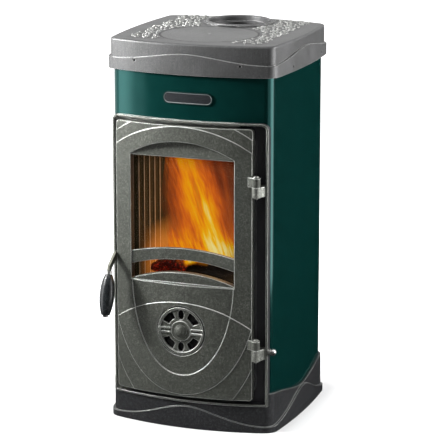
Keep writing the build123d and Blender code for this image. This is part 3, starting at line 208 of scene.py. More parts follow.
def castPaint(name, colour, edgeGain=6.0, rough=0.46, metal=0.20, specular=0.22, tray=False,
              ports=False):
    finish = Finish(name)
    pebbles = finish.noise(1 / castLook["grain"], 3.0, 0.6)
    slow = finish.noise(14.0, 4.0, 0.55)
    lumps = finish.noise(170.0, 2.0, 0.5)
    rounded = finish.softEdges(castLook["edgeRound"])
    edges = finish.edgeMask(rounded, edgeGain) * (0.45 + 0.8 * slow)
    light = tuple(min(1.0, c * castLook["lighter"]) for c in colour)
    dark = tuple(c * castLook["darker"] for c in colour)
    sparkle = finish.noise(430.0, 2.0, 0.7)
    paint = finish.ramp(0.10 * slow + 0.28 * pebbles + 0.20 * lumps + 0.42 * sparkle,
                        (0.36, dark), (0.51, colour), (0.66, light))
    if tray:
        x, y, z = finish.axes()
        reach = (x ** 2.0 + (y - castLook["bowCentre"]) ** 2.0) ** 0.5
        sunk = ((castLook["trayRadius"] - reach) * 900.0).clip()
        # painted shade on the tray's sunken floor beside the hinges
        hingeSide = sunk * ((x - castLook["hingeSide"]) * 60.0).clip()
        paint = finish.mix(hingeSide, paint, castLook["trayShade"])
        # painted light on the tray's margin outside the door, set against the shade in that gap
        gap = (((-castLook["doorLeft"] - x) * 400.0).clip()
               + ((z - castLook["doorTop"]) * 400.0).clip()).clip() * (1.0 - hingeSide) * sunk
        paint = finish.mix(gap, paint, castLook["gapPaintedLight"])
        edges = edges * (1.0 - 0.8 * sunk)
    if ports:
        x, y, z = finish.axes()
        rosette = middleOf("air_disc")
        reach = ((x - rosette.x) ** 2.0 + (z - rosette.z) ** 2.0) ** 0.5
        # the cup behind the air disc turns near black: soot and painted shade
        sootAndShade = (((castLook["portReach"] - reach) * 2000.0).clip()
                 * ((y - castLook["cupFloor"]) * 3000.0).clip())
        paint = finish.mix(sootAndShade, paint, castLook["portSootAndShade"])
        edges = edges * (1.0 - sootAndShade)
    # edges are mixed towards a lighter colour: edge wear and a painted highlight
    finish.set(colour=finish.mix(edges.clip(0.0, 0.9), paint, castLook["edgeWearAndHighlight"]),
               metal=(metal + 0.25 * (pebbles - 0.5) + 0.4 * edges).clip(),
               rough=(rough + 0.22 * (slow - 0.5) + 0.25 * (pebbles - 0.5)
                      - 0.15 * edges).clip(0.18, 0.9), specular=specular,
               normal=finish.bump(0.75 * pebbles + 0.5 * lumps + 0.5 * sparkle, 0.0007, 0.8,
                                  rounded))
    return finish.material


topLook = {
    "colour": (0.074, 0.075, 0.074),
    "tint": (0.066, 0.064, 0.070),     # the slightly violet side of the same paint
    # the raised leaves are painted lighter than the plate: a painted highlight
    "ornament": (0.29, 0.295, 0.28),
    "edgeWearAndHighlight": (0.66, 0.66, 0.65),
    "lighter": 1.9, "darker": 0.58,
    "disc": (0.092, 0.093, 0.091),
    "discCentre": middleOf("cooking_disc"),
    "discRing": 0.0011,                # pitch of the turned rings on the lift-out disc
    "discGroove": 0.083,               # radius of the groove turned in it
    "discEdge": 0.1064, "seamHalf": 0.0032,
    "flueCentre": middleOf("flue_collar"),
    # near black inside the flue: soot and painted shade; the dark joint line round the disc takes this
    # colour too
    "soot": (0.008, 0.008, 0.008), "flueSootAndShadeRadius": 0.0415, "flueSootAndShadeTop": 0.850,
}
groundShadeLook = {
    "colour": (0.052, 0.053, 0.052),   # painted shade on the plate between the leaves
    "inner": 0.058, "outer": 0.156, "front": -0.160, "back": 0.184,
    "discClear": 0.112, "flueClear": 0.084,
}


def outFrom(finish, centre):
    # distance in plan from an upright axis
    x, y, z = finish.axes()
    return ((x - centre.x) ** 2.0 + (y - centre.y) ** 2.0) ** 0.5


def topPaint(name, colour, turned=False, field=False):
    finish = Finish(name)
    pebbles = finish.noise(820.0, 3.0, 0.6)
    slow = finish.noise(11.0, 4.0, 0.6)
    rub = finish.noise(1.0, 3.0, 0.5, finish.stretched((420.0, 30.0, 30.0)))
    rounded = finish.softEdges(0.0013)
    edges = finish.edgeMask(rounded, 5.0) * (0.4 + 0.8 * slow)
    dark = tuple(c * topLook["darker"] for c in colour)
    light = tuple(min(1.0, c * topLook["lighter"]) for c in colour)
    sparkle = finish.noise(430.0, 2.0, 0.7)
    paint = finish.ramp(0.20 * slow + 0.30 * pebbles + 0.15 * rub + 0.35 * sparkle,
                        (0.36, dark), (0.51, colour), (0.66, light))
    paint = finish.mix((slow - 0.35).clip() * 1.1, paint, topLook["tint"])
    height = 0.8 * pebbles + 0.25 * rub
    x, y, z = finish.axes()
    reach = outFrom(finish, topLook["discCentre"])
    fromFlue = outFrom(finish, topLook["flueCentre"])
    # painted shade on the plate between the raised leaves
    if field:
        groundShade = (((abs(x) - groundShadeLook["inner"]) * 300.0).clip()
                  * ((groundShadeLook["outer"] - abs(x)) * 300.0).clip()
                  * ((y - groundShadeLook["front"]) * 300.0).clip()
                  * ((groundShadeLook["back"] - y) * 300.0).clip()
                  * ((reach - groundShadeLook["discClear"]) * 400.0).clip()
                  * ((fromFlue - groundShadeLook["flueClear"]) * 400.0).clip())
        paint = finish.mix(groundShade * (0.35 + 0.9 * slow).clip(), paint, groundShadeLook["colour"])
    if turned:
        rings = (reach * (2 * math.pi / topLook["discRing"])).sine()
        groove = (1.0 - abs(reach - topLook["discGroove"]) * 900.0).clip()
        paint = finish.mix(0.10 + 0.10 * rings, paint, light)
        # the turned groove is painted darker: painted shade in it
        paint = finish.mix(groove * 0.55, paint, dark)
        height = height * 0.5 + 0.35 * rings - 1.6 * groove
    seam = ((topLook["seamHalf"] - abs(reach - topLook["discEdge"])) * 900.0).clip()
    # the flue's inside turns near black: soot and painted shade
    sootAndShade = (((topLook["flueSootAndShadeRadius"] - fromFlue) * 900.0).clip()
             * ((topLook["flueSootAndShadeTop"] - z) * 900.0).clip())
    edges = edges * (1.0 - sootAndShade) * (1.0 - seam)
    paint = finish.mix((seam * 0.85 + sootAndShade).clip(), paint, topLook["soot"])
    # edges are mixed towards a lighter colour: edge wear and a painted highlight
    finish.set(colour=finish.mix(edges.clip(0.0, 0.85), paint, topLook["edgeWearAndHighlight"]),
               metal=0.35, specular=0.30,
               rough=(0.43 + 0.25 * (slow - 0.5) + 0.2 * (pebbles - 0.5)).clip(0.2, 0.8),
               normal=finish.bump(height, 0.00028, 0.5, rounded))
    return finish.material


enamelLook = {
    "colour": (0.0018, 0.0195, 0.0172),
    "deep": (0.0012, 0.0150, 0.0133),
    "specular": 0.36,
    "sheen": (0.34, 1.0, 0.96),     # highlights take some of the green
    "peel": 0.000016,        # depth of the faint ripple that glass enamel sets with
}


def enamel():
    finish = Finish("greenEnamel")
    flow = finish.noise(26.0, 3.0, 0.5)
    peel = finish.noise(210.0, 2.0, 0.5)
    specks = finish.noise(1500.0, 2.0, 0.5)
    glaze = finish.ramp(flow * 0.75 + specks * 0.25,
                        (0.32, enamelLook["deep"]), (0.68, enamelLook["colour"]))
    finish.set(colour=glaze, rough=(0.10 + 0.06 * flow + 0.03 * specks).clip(0.03, 0.3),
               specular=enamelLook["specular"], sheenTint=enamelLook["sheen"],
               normal=finish.bump(peel + 0.6 * flow, enamelLook["peel"], 0.6))
    return finish.material


metalLook = {
    "zinc": (0.46, 0.47, 0.48),
    "bright": (0.52, 0.52, 0.51),
    "lever": (0.20, 0.20, 0.165),
    "blackened": (0.075, 0.076, 0.078),
    "sheetBlack": (0.032, 0.032, 0.033),
    "worn": (0.62, 0.62, 0.60),       # bare metal on the edges
}


def brushedMetal(name, colour, rough, metal, grainAxis=(60.0, 60.0, 900.0), wear=0.5):
    finish = Finish(name)
    brushing = finish.noise(1.0, 3.0, 0.6, finish.stretched(grainAxis))
    cloud = finish.noise(45.0, 4.0, 0.6)
    fine = finish.noise(900.0, 2.0, 0.6)
    rounded = finish.softEdges(0.0005)
    edges = finish.edgeMask(rounded, 2.0) * wear
    paint = finish.ramp(0.45 * brushing + 0.35 * cloud + 0.2 * fine,
                        (0.32, tuple(c * 0.7 for c in colour)), (0.52, colour),
                        (0.72, tuple(min(1.0, c * 1.3) for c in colour)))
    finish.set(colour=finish.mix(edges.clip(), paint, metalLook["worn"]), metal=metal,
               rough=(rough + 0.3 * (cloud - 0.5) + 0.2 * (brushing - 0.5)).clip(0.08, 0.95),
               normal=finish.bump(brushing + 0.5 * fine, 0.00008, 0.6, rounded))
    return finish.material


def zincSheet(name):
    finish = Finish(name)
    spangle = finish.cells(75.0)
    cloud = finish.noise(20.0, 4.0, 0.6)
    fine = finish.noise(700.0, 2.0, 0.6)
    paint = finish.ramp(0.5 * spangle + 0.3 * cloud + 0.2 * fine,
                        (0.2, tuple(c * 0.72 for c in metalLook["zinc"])),
                        (0.6, metalLook["zinc"]))
    finish.set(colour=paint, metal=0.75, rough=(0.38 + 0.4 * spangle - 0.1 * cloud).clip(0.2, 0.8),
               normal=finish.bump(fine + 0.3 * spangle, 0.00006, 0.5, finish.softEdges(0.0006)))
    return finish.material


firedLook = {
    "soot": (0.018, 0.015, 0.013),
    "iron": (0.060, 0.050, 0.042),
    "scorch": (0.17, 0.105, 0.060),
    "ash": (0.30, 0.275, 0.24), "ashy": 0.35,
}


def firedIron(name):
    finish = Finish(name)
    soot = finish.noise(22.0, 5.0, 0.65)
    crust = finish.noise(420.0, 4.0, 0.65)
    streaks = finish.noise(1.0, 4.0, 0.6, finish.stretched((90.0, 90.0, 9.0)))
    paint = finish.ramp(0.6 * soot + 0.4 * crust, (0.32, firedLook["soot"]),
                        (0.52, firedLook["iron"]), (0.74, firedLook["scorch"]))
    dusted = ((streaks - 0.42) * 3.0).clip() * firedLook["ashy"]
    rounded = finish.softEdges(0.001)
    worn = finish.edgeMask(rounded, 1.5) * firedLook["ashy"]
    finish.set(colour=finish.mix((dusted + worn).clip(), paint, firedLook["ash"]),
               metal=0.15, rough=(0.72 + 0.3 * (crust - 0.5)).clip(0.4, 1.0), specular=0.3,
               normal=finish.bump(crust + 0.6 * soot, 0.0006, 0.6, rounded))
    return finish.material


linerLook = {
    "soot": (0.010, 0.009, 0.005), "sootLight": (0.040, 0.033, 0.018),
    # ash and a painted highlight along the rib crowns
    "crown": (0.42, 0.34, 0.26),
    "firstRib": -0.154, "ribPitch": 0.030, "lastRib": -0.005,
    # painted firelight glow on the liner, stronger along the rib crowns
    "paintedFirelightGlow": (0.008, 0.007, 0.003), "crownPaintedFirelightGlow": (0.15, 0.105, 0.068),
    "firelight": (0.80, 0.24, 0.030),            # painted firelight glow, low down and towards the back
    "firelightTop": 0.420, "firelightFront": -0.145,
}


def ribbedLiner(name):
    # soot between the cast ribs, with ash and a painted highlight along their crowns, and a painted
    # firelight glow on the crowns and low towards the back
    finish = Finish(name)
    x, y, z = finish.axes()
    soot = finish.noise(22.0, 5.0, 0.65)
    crust = finish.noise(420.0, 4.0, 0.65)
    ribTurn = 2 * math.pi / linerLook["ribPitch"]
    crown = ((y - linerLook["firstRib"]) * ribTurn + math.pi / 2).sine()
    line = (((crown - 0.86) * 9.0).clip() * (0.55 + 0.8 * soot).clip()
            * ((linerLook["lastRib"] - y) * 60.0).clip())
    paint = finish.ramp(0.6 * soot + 0.4 * crust, (0.32, linerLook["soot"]),
                        (0.74, linerLook["sootLight"]))
    low = (((linerLook["firelightTop"] - z) * 16.0).clip()
           * ((y - linerLook["firelightFront"]) * 11.0).clip())
    paintedFirelightGlow = finish.mix(line, linerLook["paintedFirelightGlow"], linerLook["crownPaintedFirelightGlow"])
    rounded = finish.softEdges(0.001)
    # the crowns take ash and a painted highlight; the glow is painted firelight
    finish.set(colour=finish.mix(line, paint, linerLook["crown"]), metal=0.1,
               rough=(0.72 + 0.3 * (crust - 0.5)).clip(0.4, 1.0), specular=0.3,
               glow=finish.mix(low * (0.35 + 0.6 * soot), paintedFirelightGlow, linerLook["firelight"]),
               glowPower=1.0,
               normal=finish.bump(crust + 0.6 * soot, 0.0006, 0.6, rounded))
    return finish.material


ropeLook = {"colour": (0.20, 0.195, 0.18), "soiled": (0.05, 0.047, 0.042), "strand": 0.0042}


def sealRope(name):
    finish = Finish(name)
    x, y, z = finish.axes()
    strand = 2 * math.pi / ropeLook["strand"]
    braid = ((x + z) * strand).sine() * ((x - z) * strand).sine()
    fuzz = finish.noise(1900.0, 3.0, 0.7)
    soil = finish.noise(35.0, 4.0, 0.6)
    paint = finish.ramp((0.5 + 0.22 * braid + 0.25 * (fuzz - 0.5) + 0.5 * (soil - 0.5)).clip(),
                        (0.15, ropeLook["soiled"]), (0.85, ropeLook["colour"]))
    finish.set(colour=paint, rough=0.95, specular=0.2,
               normal=finish.bump(braid * 0.6 + fuzz * 0.5, 0.0008, 0.8))
    return finish.material


glassLook = {
    "tint": (0.050, 0.030, 0.014),
    "clear": 0.035, "smoked": 0.55,    # how opaque the middle is, and how much more the rim
    "smokedTop": 0.045,                # height of the smoked band along the top
}


def stoveGlass():
    finish = Finish("clearStoveGlass")
    x, y, z = finish.axes()
    low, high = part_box("window_glass")
    side = abs(x - middleOf("window_glass").x) / ((high.x - low.x) / 2)
    top = (z - (high.z - glassLook["smokedTop"])) / glassLook["smokedTop"]
    smoke = finish.noise(28.0, 4.0, 0.6)
    haze = (side ** 6.0 + (top.clip() ** 1.5) * 0.7) * (0.35 + 0.9 * smoke)
    finish.set(colour=glassLook["tint"], specular=0.5,
               rough=(0.04 + 0.25 * haze).clip(0.03, 0.5),
               alpha=(glassLook["clear"] + glassLook["smoked"] * haze).clip(0.02, 0.8))
    return finish.material


gripLook = {"colour": (0.010, 0.011, 0.012), "sheen": (0.024, 0.028, 0.030)}


def mouldedGrip():
    finish = Finish("mouldedGrip")
    swirl = finish.noise(38.0, 4.0, 0.6)
    fine = finish.noise(1300.0, 2.0, 0.6)
    paint = finish.ramp(0.7 * swirl + 0.3 * fine, (0.35, gripLook["colour"]), (0.7, gripLook["sheen"]))
    finish.set(colour=paint, rough=(0.14 + 0.16 * swirl + 0.10 * fine).clip(0.1, 0.7),
               specular=0.5, normal=finish.bump(fine + swirl, 0.00006, 0.5))
    return finish.material


badgeLook = {
    "plate": (0.006, 0.007, 0.008), "plateLight": (0.020, 0.022, 0.025),
    "line": (0.40, 0.42, 0.42), "lineInset": 0.0026,
    "marginInset": 0.0020,             # outside of this the plate has the casing's green
}


def badgePlate():
    finish = Finish("bareBadge")
    x, y, z = finish.axes()
    low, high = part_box("badge_plate")
    middle = middleOf("badge_plate")
    halfTall = (high.z - low.z) / 2
    straight = (high.x - low.x) / 2 - halfTall
    along = (abs(x - middle.x) - straight).clip(0.0, 1.0)
    reach = (along ** 2.0 + (z - middle.z) ** 2.0) ** 0.5
    line = (1.0 - abs(reach - (halfTall - badgeLook["lineInset"])) * 1100.0).clip()
    margin = ((reach - (halfTall - badgeLook["marginInset"])) * 2500.0).clip()
    grain = finish.noise(600.0, 3.0, 0.6)
    brushing = finish.noise(1.0, 3.0, 0.5, finish.stretched((60.0, 60.0, 1400.0)))
    plate = finish.ramp(0.5 * grain + 0.5 * brushing, (0.35, badgeLook["plate"]),
                        (0.7, badgeLook["plateLight"]))
    plate = finish.mix(margin, plate, enamelLook["deep"])
    finish.set(colour=finish.mix(line, plate, badgeLook["line"]), metal=0.05 + 0.7 * line,
               specular=0.12, rough=(0.52 + 0.2 * (brushing - 0.5) - 0.15 * line).clip(0.15, 0.8),
               normal=finish.bump(grain, 0.00005, 0.5, finish.softEdges(0.0004)))
    return finish.material


doorPaint = castPaint("castDoorPaint", castLook["doorColour"], ports=True)
discPaint = castPaint("castDiscPaint", castLook["doorColour"])
framePaint = castPaint("castFramePaint", castLook["doorColour"], edgeGain=3.5, tray=True)
plinthPaint = castPaint("castPlinthPaint", castLook["plinthColour"], edgeGain=1.3, rough=0.38)
hingePaint = castPaint("castHingePaint", castLook["hingeColour"], edgeGain=4.0, rough=0.36,
                       metal=0.5)
lidPaint = topPaint("turnedDiscPaint", topLook["disc"], turned=True)
platePaint = topPaint("topPlatePaint", topLook["colour"], field=True)
brightSteel = brushedMetal("brightSteel", metalLook["bright"], 0.30, 0.95)
leverSteel = brushedMetal("leverSteel", metalLook["lever"], 0.34, 0.8, (90.0, 900.0, 90.0), 0.8)
blackSteel = brushedMetal("blackenedSteel", metalLook["blackened"], 0.34, 0.8)
blackSheet = brushedMetal("blackSheet", metalLook["sheetBlack"], 0.62, 0.1, (70.0, 70.0, 70.0), 0.2)
zinc = zincSheet("zincSheet")
fireIron = firedIron("sootedIron")
rope = sealRope("sealRope")

finishes = {
    doorPaint: ["door_casting"],
    discPaint: ["air_disc", "air_disc_bolt"],
    framePaint: ["front_frame"],
    plinthPaint: ["plinth"],
    hingePaint: ["hinge_bracket_lower", "hinge_bracket_upper", "hinge_pin_lower",
                 "hinge_pin_upper"],
    platePaint: ["top_casting", "flue_collar"],
    lidPaint: ["cooking_disc"],
    enamel(): ["mantle_left", "mantle_right", "mantle_fascia"],
    brightSteel: ["back_panel_screws", "latch_keeper", "air_valve_rod", "air_valve_disc",
                  "inner_shield_screws", "glass_clips", "glass_clip_screws", "air_disc_nut",
                  "grip_spindle", "grip_ferrule", "air_valve_knob"],
    leverSteel: ["latch_lever"],
    blackSteel: ["top_fixing_screws", "hinge_bolts", "latch_pin", "grip_nut"],
    blackSheet: ["door_inner_shield", "firebox_left", "firebox_right", "firebox_back",
                 "ash_floor"],
    zinc: ["back_panel", "ash_pan", "ash_pan_bail", "mantle_back_rails"],
    fireIron: ["hearth_plate", "grate", "liner_right", "liner_back", "baffle"],
    ribbedLiner("ribbedLiner"): ["liner_left"],
    rope: ["door_rope_seal", "glass_gasket"],
    stoveGlass(): ["window_glass"],
    mouldedGrip(): ["handle_grip"],
    badgePlate(): ["badge_plate"],
}
dressed = set()
for material, names in finishes.items():
    for name in names:
        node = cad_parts[name]
        node.data.materials.clear()
        node.data.materials.append(material)
        dressed.add(name)
print("finishes given; without one:", sorted(set(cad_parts) - dressed))


# Small helpers for the modelled pieces

def clearSelection():
    if bpy.context.object and bpy.context.object.mode != "OBJECT":
        bpy.ops.object.mode_set(mode="OBJECT")
    bpy.ops.object.select_all(action="DESELECT")


def pick(piece):
    clearSelection()
    piece.select_set(True)
    bpy.context.view_layer.objects.active = piece


def settle(piece, name, material, body):
    # its place goes into the mesh, and the piece rides its body
    pick(piece)
    bpy.ops.object.transform_apply(location=True, rotation=True, scale=True)
    bpy.ops.object.shade_smooth_by_angle(angle=math.radians(40))
    piece.name = name
    piece.data.name = name
    piece.data.materials.clear()
    piece.data.materials.append(material)
    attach(piece, body)
    return piece


def joinAll(pieces):
    clearSelection()
    for piece in pieces:
        piece.select_set(True)
    bpy.context.view_layer.objects.active = pieces[0]
    bpy.ops.object.join()
    return bpy.context.object


def applyModifiers(piece):
    pick(piece)
    for modifier in list(piece.modifiers):
        bpy.ops.object.modifier_apply(modifier=modifier.name)


# Leaf ornament cast on the plate, in two mirrored fields beside the disc and the flue

ornament = {
    "plateZ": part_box("top_casting")[1].z,
    "discClear": 0.1135, "flueClear": 0.086,
    "inner": 0.060, "outer": 0.153,      # how far out the field reaches
    "front": -0.158, "back": 0.182,
    "vines": 8, "wave": 0.006, "bends": 70.0, "step": 0.0092,
    "leaf": (0.0094, 0.0046, 0.0022),    # length, width and height of one leaf
    "taper": 0.35, "cut": -0.25,         # how it narrows to its tip, and where its foot is cut
    "turns": (0.4, 1.1), "sizes": (0.75, 1.2), "steps": (0.75, 1.1),     # least and most
    "seed": 11,
}


def leafShape():
    # one pointed leaf: a low ball drawn out to a tip
    clearSelection()
    bpy.ops.mesh.primitive_uv_sphere_add(segments=8, ring_count=5, radius=1.0)
    leaf = bpy.context.object
    for vertex in leaf.data.vertices:
        along = vertex.co.x
        vertex.co.y *= 1.0 - ornament["taper"] * along
        vertex.co.z = max(vertex.co.z, ornament["cut"])
    return leaf


def inField(x, y):
    fromDisc = math.dist((x, y), topLook["discCentre"].xy)
    fromFlue = math.dist((x, y), topLook["flueCentre"].xy)
    if fromDisc < ornament["discClear"] or fromFlue < ornament["flueClear"]:
        return False
    return ornament["front"] < y < ornament["back"] and ornament["inner"] < abs(x) < ornament["outer"]


def makeOrnament():
    dice = random.Random(ornament["seed"])
    master = leafShape()
    leaves = []
    long, wide, tall = ornament["leaf"]
    spacing = (ornament["outer"] - ornament["inner"]) / ornament["vines"]
    for vine in range(ornament["vines"] + 1):
        y, side = ornament["front"], 1
        phase = dice.uniform(0, 6.28)
        middle = ornament["inner"] + (vine + 0.3) * spacing
        while y < ornament["back"]:
            stem = middle + ornament["wave"] * math.sin(y * ornament["bends"] + phase)
            x = stem + side * wide * 0.9
            turn = math.pi / 2 - side * dice.uniform(*ornament["turns"])
            size = dice.uniform(*ornament["sizes"])
            if inField(x, y):
                for hand in (1, -1):
                    leaf = master.copy()
                    leaf.data = master.data.copy()
                    bpy.context.collection.objects.link(leaf)
                    leaf.location = (hand * x, y, ornament["plateZ"])
                    leaf.rotation_euler = (0, 0, turn if hand > 0 else math.pi - turn)
                    leaf.scale = (long / 2 * size, wide / 2 * size, tall * size)
                    leaves.append(leaf)
            side = -side
            y += ornament["step"] * dice.uniform(*ornament["steps"])
    bpy.data.objects.remove(master)
    return joinAll(leaves)


# the leaves take a lighter colour than the plate: a painted highlight
field = settle(makeOrnament(), "plateLeafOrnament", topPaint("ornamentHighlitPaint", topLook["ornament"]),
               "stove")
print("ornament:", len(field.data.polygons), "faces")


# Fire behind the glass: charred logs, embers and leaning flames

fire = {
    "hearthZ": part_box("hearth_plate")[1].z + 0.0001,
    "logs": [  # where each end is, its half width, its flat top's share of that, its seed
        ((-0.112, -0.096, 0.284), (0.112, -0.100, 0.284), 0.034, 0.85, 9),
        ((-0.038, -0.098, 0.321), (0.110, -0.094, 0.317), 0.034, 0.84, 3),
        ((-0.100, 0.085, 0.290), (0.090, 0.125, 0.291), 0.035, 0.55, 5),
        ((0.020, 0.020, 0.300), (0.112, -0.020, 0.288), 0.032, 0.60, 8),
    ],
    "logCrust": (0.014, 0.006),                  # size and depth of the charred surface
    "chunk": ((-0.072, -0.100, 0.336), 0.026),   # the dark piece of charcoal at the left
    "chunkShifts": (-0.022, 0.0, 0.020),         # three lumps side by side make it
    "emberCount": 44,
    "emberSize": (0.010, 0.021),
    "emberLift": 0.004,
    "bed": (-0.112, 0.118, -0.120, 0.140),
    "seed": 4,
}


charLook = {
    "bark": (0.0015, 0.0012, 0.0012), "barkLight": (0.010, 0.008, 0.007),
    "hotBelow": 0.272,
    "glow": [(0.25, (0.0, 0.0, 0.0)), (0.5, (0.45, 0.02, 0.0)), (0.8, (0.9, 0.12, 0.01)),
             (1.0, (1.0, 0.45, 0.08))],
}


def charredWood():
    finish = Finish("charredWood")
    splits = finish.cells(1.0, "DISTANCE_TO_EDGE", finish.stretched((46.0, 120.0, 120.0)))
    bark = finish.noise(150.0, 5.0, 0.65)
    blaze = finish.noise(20.0, 3.0, 0.5)
    x, y, z = finish.axes()
    low = ((charLook["hotBelow"] - z) * 40.0).clip()
    heat = (low * (0.35 + blaze) + (bark - 0.62).clip() * 2.0 * (blaze - 0.35).clip()).clip()
    finish.set(colour=finish.ramp(0.7 * bark + 0.6 * splits, (0.35, charLook["bark"]),
                                  (0.80, charLook["barkLight"])),
               rough=0.9, specular=0.08, glow=finish.ramp(heat, *charLook["glow"]),
               glowPower=1.0, normal=finish.bump(bark + 1.5 * splits, 0.003, 0.8))
    return finish.material


emberLook = {
    "crust": (0.010, 0.005, 0.004), "crustLight": (0.05, 0.03, 0.025),
    "hotBelow": 0.285, "hotLeft": -0.055, "chunkFoot": 0.300,
    "glow": [(0.15, (0.012, 0.0, 0.0)), (0.42, (0.21, 0.008, 0.002)),
             (0.68, (0.62, 0.045, 0.006)), (0.86, (0.95, 0.26, 0.02)), (1.0, (1.0, 0.62, 0.14))],
}


def emberGlow():
    # dull red crust with darker scale, and orange where it lies deep in the bed
    finish = Finish("glowingEmbers")
    x, y, z = finish.axes()
    scale = finish.cells(150.0)
    crust = finish.noise(230.0, 4.0, 0.65)
    patch = finish.noise(30.0, 3.0, 0.5)
    left = ((emberLook["hotLeft"] - x) * 14.0).clip()
    chunk = ((z - emberLook["chunkFoot"]) * 60.0).clip()
    heat = (0.42 + 0.9 * (0.42 - scale) + 0.9 * (crust - 0.5) + 0.9 * (patch - 0.5)
            + (emberLook["hotBelow"] - z).clip() * 7.0 + 0.45 * left * (1.0 - chunk)
            - 0.30 * chunk).clip()
    finish.set(colour=finish.ramp(crust, (0.3, emberLook["crust"]), (0.7, emberLook["crustLight"])),
               rough=0.9, specular=0.2, glow=finish.ramp(heat, *emberLook["glow"]),
               glowPower=1.0, normal=finish.bump(crust + scale, 0.003, 0.8))
    return finish.material


def roughen(piece, size, depth):
    texture = bpy.data.textures.new(piece.name + "Crust", "CLOUDS")
    texture.noise_scale = size
    texture.noise_depth = 2
    crust = piece.modifiers.new("crust", "DISPLACE")
    crust.texture = texture
    crust.texture_coords = "GLOBAL"
    crust.strength = depth
    crust.mid_level = 0.5


def splitLog(start, end, radius, top, seed):
    # a split billet: a round bar flattened on top and squeezed, with a charred surface
    dice = random.Random(seed)
    dx, dy, dz = (b - a for a, b in zip(start, end))
    length = math.sqrt(dx * dx + dy * dy + dz * dz)
    clearSelection()
    bpy.ops.mesh.primitive_cylinder_add(vertices=11, radius=radius, depth=length)
    log = bpy.context.object
    for vertex in log.data.vertices:
        vertex.co.x = max(vertex.co.x, -radius * top)
        vertex.co.y *= 0.90 + 0.06 * dice.random()
    bpy.ops.object.mode_set(mode="EDIT")
    bpy.ops.mesh.select_all(action="SELECT")
    bpy.ops.mesh.subdivide(number_cuts=5)
    bpy.ops.object.mode_set(mode="OBJECT")
    log.location = [(a + b) / 2 for a, b in zip(start, end)]
    log.rotation_euler = (0, math.acos(dz / length), math.atan2(dy, dx))
    pick(log)
    bpy.ops.object.transform_apply(location=True, rotation=True, scale=True)
    rounding = log.modifiers.new("rounding", "SUBSURF")
    rounding.levels = rounding.render_levels = 1
    roughen(log, *fire["logCrust"])
    applyModifiers(log)
    return log


def emberLump(place, size, seed):
    dice = random.Random(seed)
    clearSelection()
    bpy.ops.mesh.primitive_ico_sphere_add(subdivisions=3, radius=size, location=place)
    lump = bpy.context.object
    lump.scale = (dice.uniform(0.9, 1.5), dice.uniform(0.8, 1.3), dice.uniform(0.6, 0.9))
    lump.rotation_euler = (dice.uniform(-0.4, 0.4), dice.uniform(-0.4, 0.4), dice.uniform(0, 3.1))
    bpy.ops.object.transform_apply(location=True, rotation=True, scale=True)
    roughen(lump, size * 0.9, size * 0.7)
    applyModifiers(lump)
    return lump


def makeEmbers():
    dice = random.Random(fire["seed"])
    lumps = []
    left, right, near, far = fire["bed"]
    for count in range(fire["emberCount"]):
        size = dice.uniform(*fire["emberSize"])
        x, y = dice.uniform(left, right), dice.uniform(near, far)
        z = fire["hearthZ"] + fire["emberLift"] + size * dice.uniform(0.55, 0.9)
        lumps.append(emberLump((x, y, z), size, count))
    (x, y, z), size = fire["chunk"]
    for shift in fire["chunkShifts"]:
        lumps.append(emberLump((x + shift, y, z - abs(shift) * 0.2), size * 0.8,
                               fire["emberCount"] + int(shift * 1000)))
    return joinAll(lumps)


billets = joinAll([splitLog(*log) for log in fire["logs"]])
settle(billets, "charredLogs", charredWood(), "stove")
settle(makeEmbers(), "emberBed", emberGlow(), "stove")
print("logs and embers made")


flameLook = {
    "sheets": [  # depth in the firebox, left, right, bottom, top, how far the sheet bows
        (-0.080, -0.098, 0.118, 0.330, 0.600, 0.020),
        (-0.020, -0.116, 0.118, 0.300, 0.610, -0.024),
        (0.050, -0.117, 0.118, 0.270, 0.620, 0.028),
        (0.115, -0.117, 0.118, 0.262, 0.620, 0.010),
        (-0.146, -0.045, 0.030, 0.325, 0.375, 0.002),
    ],
    "front": -0.19,          # where the glass is
    "slantUp": 0.228, "slantAcross": 0.378,      # so that the sheets line up from the front right
    "foot": 0.40,
    "lean": 0.34,            # the fibres move left by this share of their rise
    "core": (0.063, 0.021),  # middle and width of the bright tongue, and of what is beside it
    "flank": (0.046, 0.058),
    "footGlow": (-0.002, 0.036),
    "spot": (0.096, 0.022, -0.008, 0.024),       # middle and width, across and up, low at the right
    "wedge": (-0.014, 0.036, -0.020),            # left, right and top of the lick in the slit
    "wedgeEdge": (0.044, 0.42),                  # drop and slope of its lower edge
    "wedgeBack": -0.120,
    "litAbove": -0.040, "litRightOf": -0.070, "top": 0.615,
    "power": 0.80,
    "glow": [(0.03, (0.14, 0.022, 0.009)), (0.14, (0.36, 0.056, 0.012)),
             (0.27, (0.76, 0.14, 0.012)), (0.46, (0.98, 0.33, 0.005)),
             (0.68, (1.0, 0.56, 0.008)), (0.98, (1.0, 0.84, 0.30))],
}


def swell(value, middle, width):
    # 1 at the middle, falling off softly over the width
    return (0.0 - ((value - middle) / width) ** 2.0).exp()


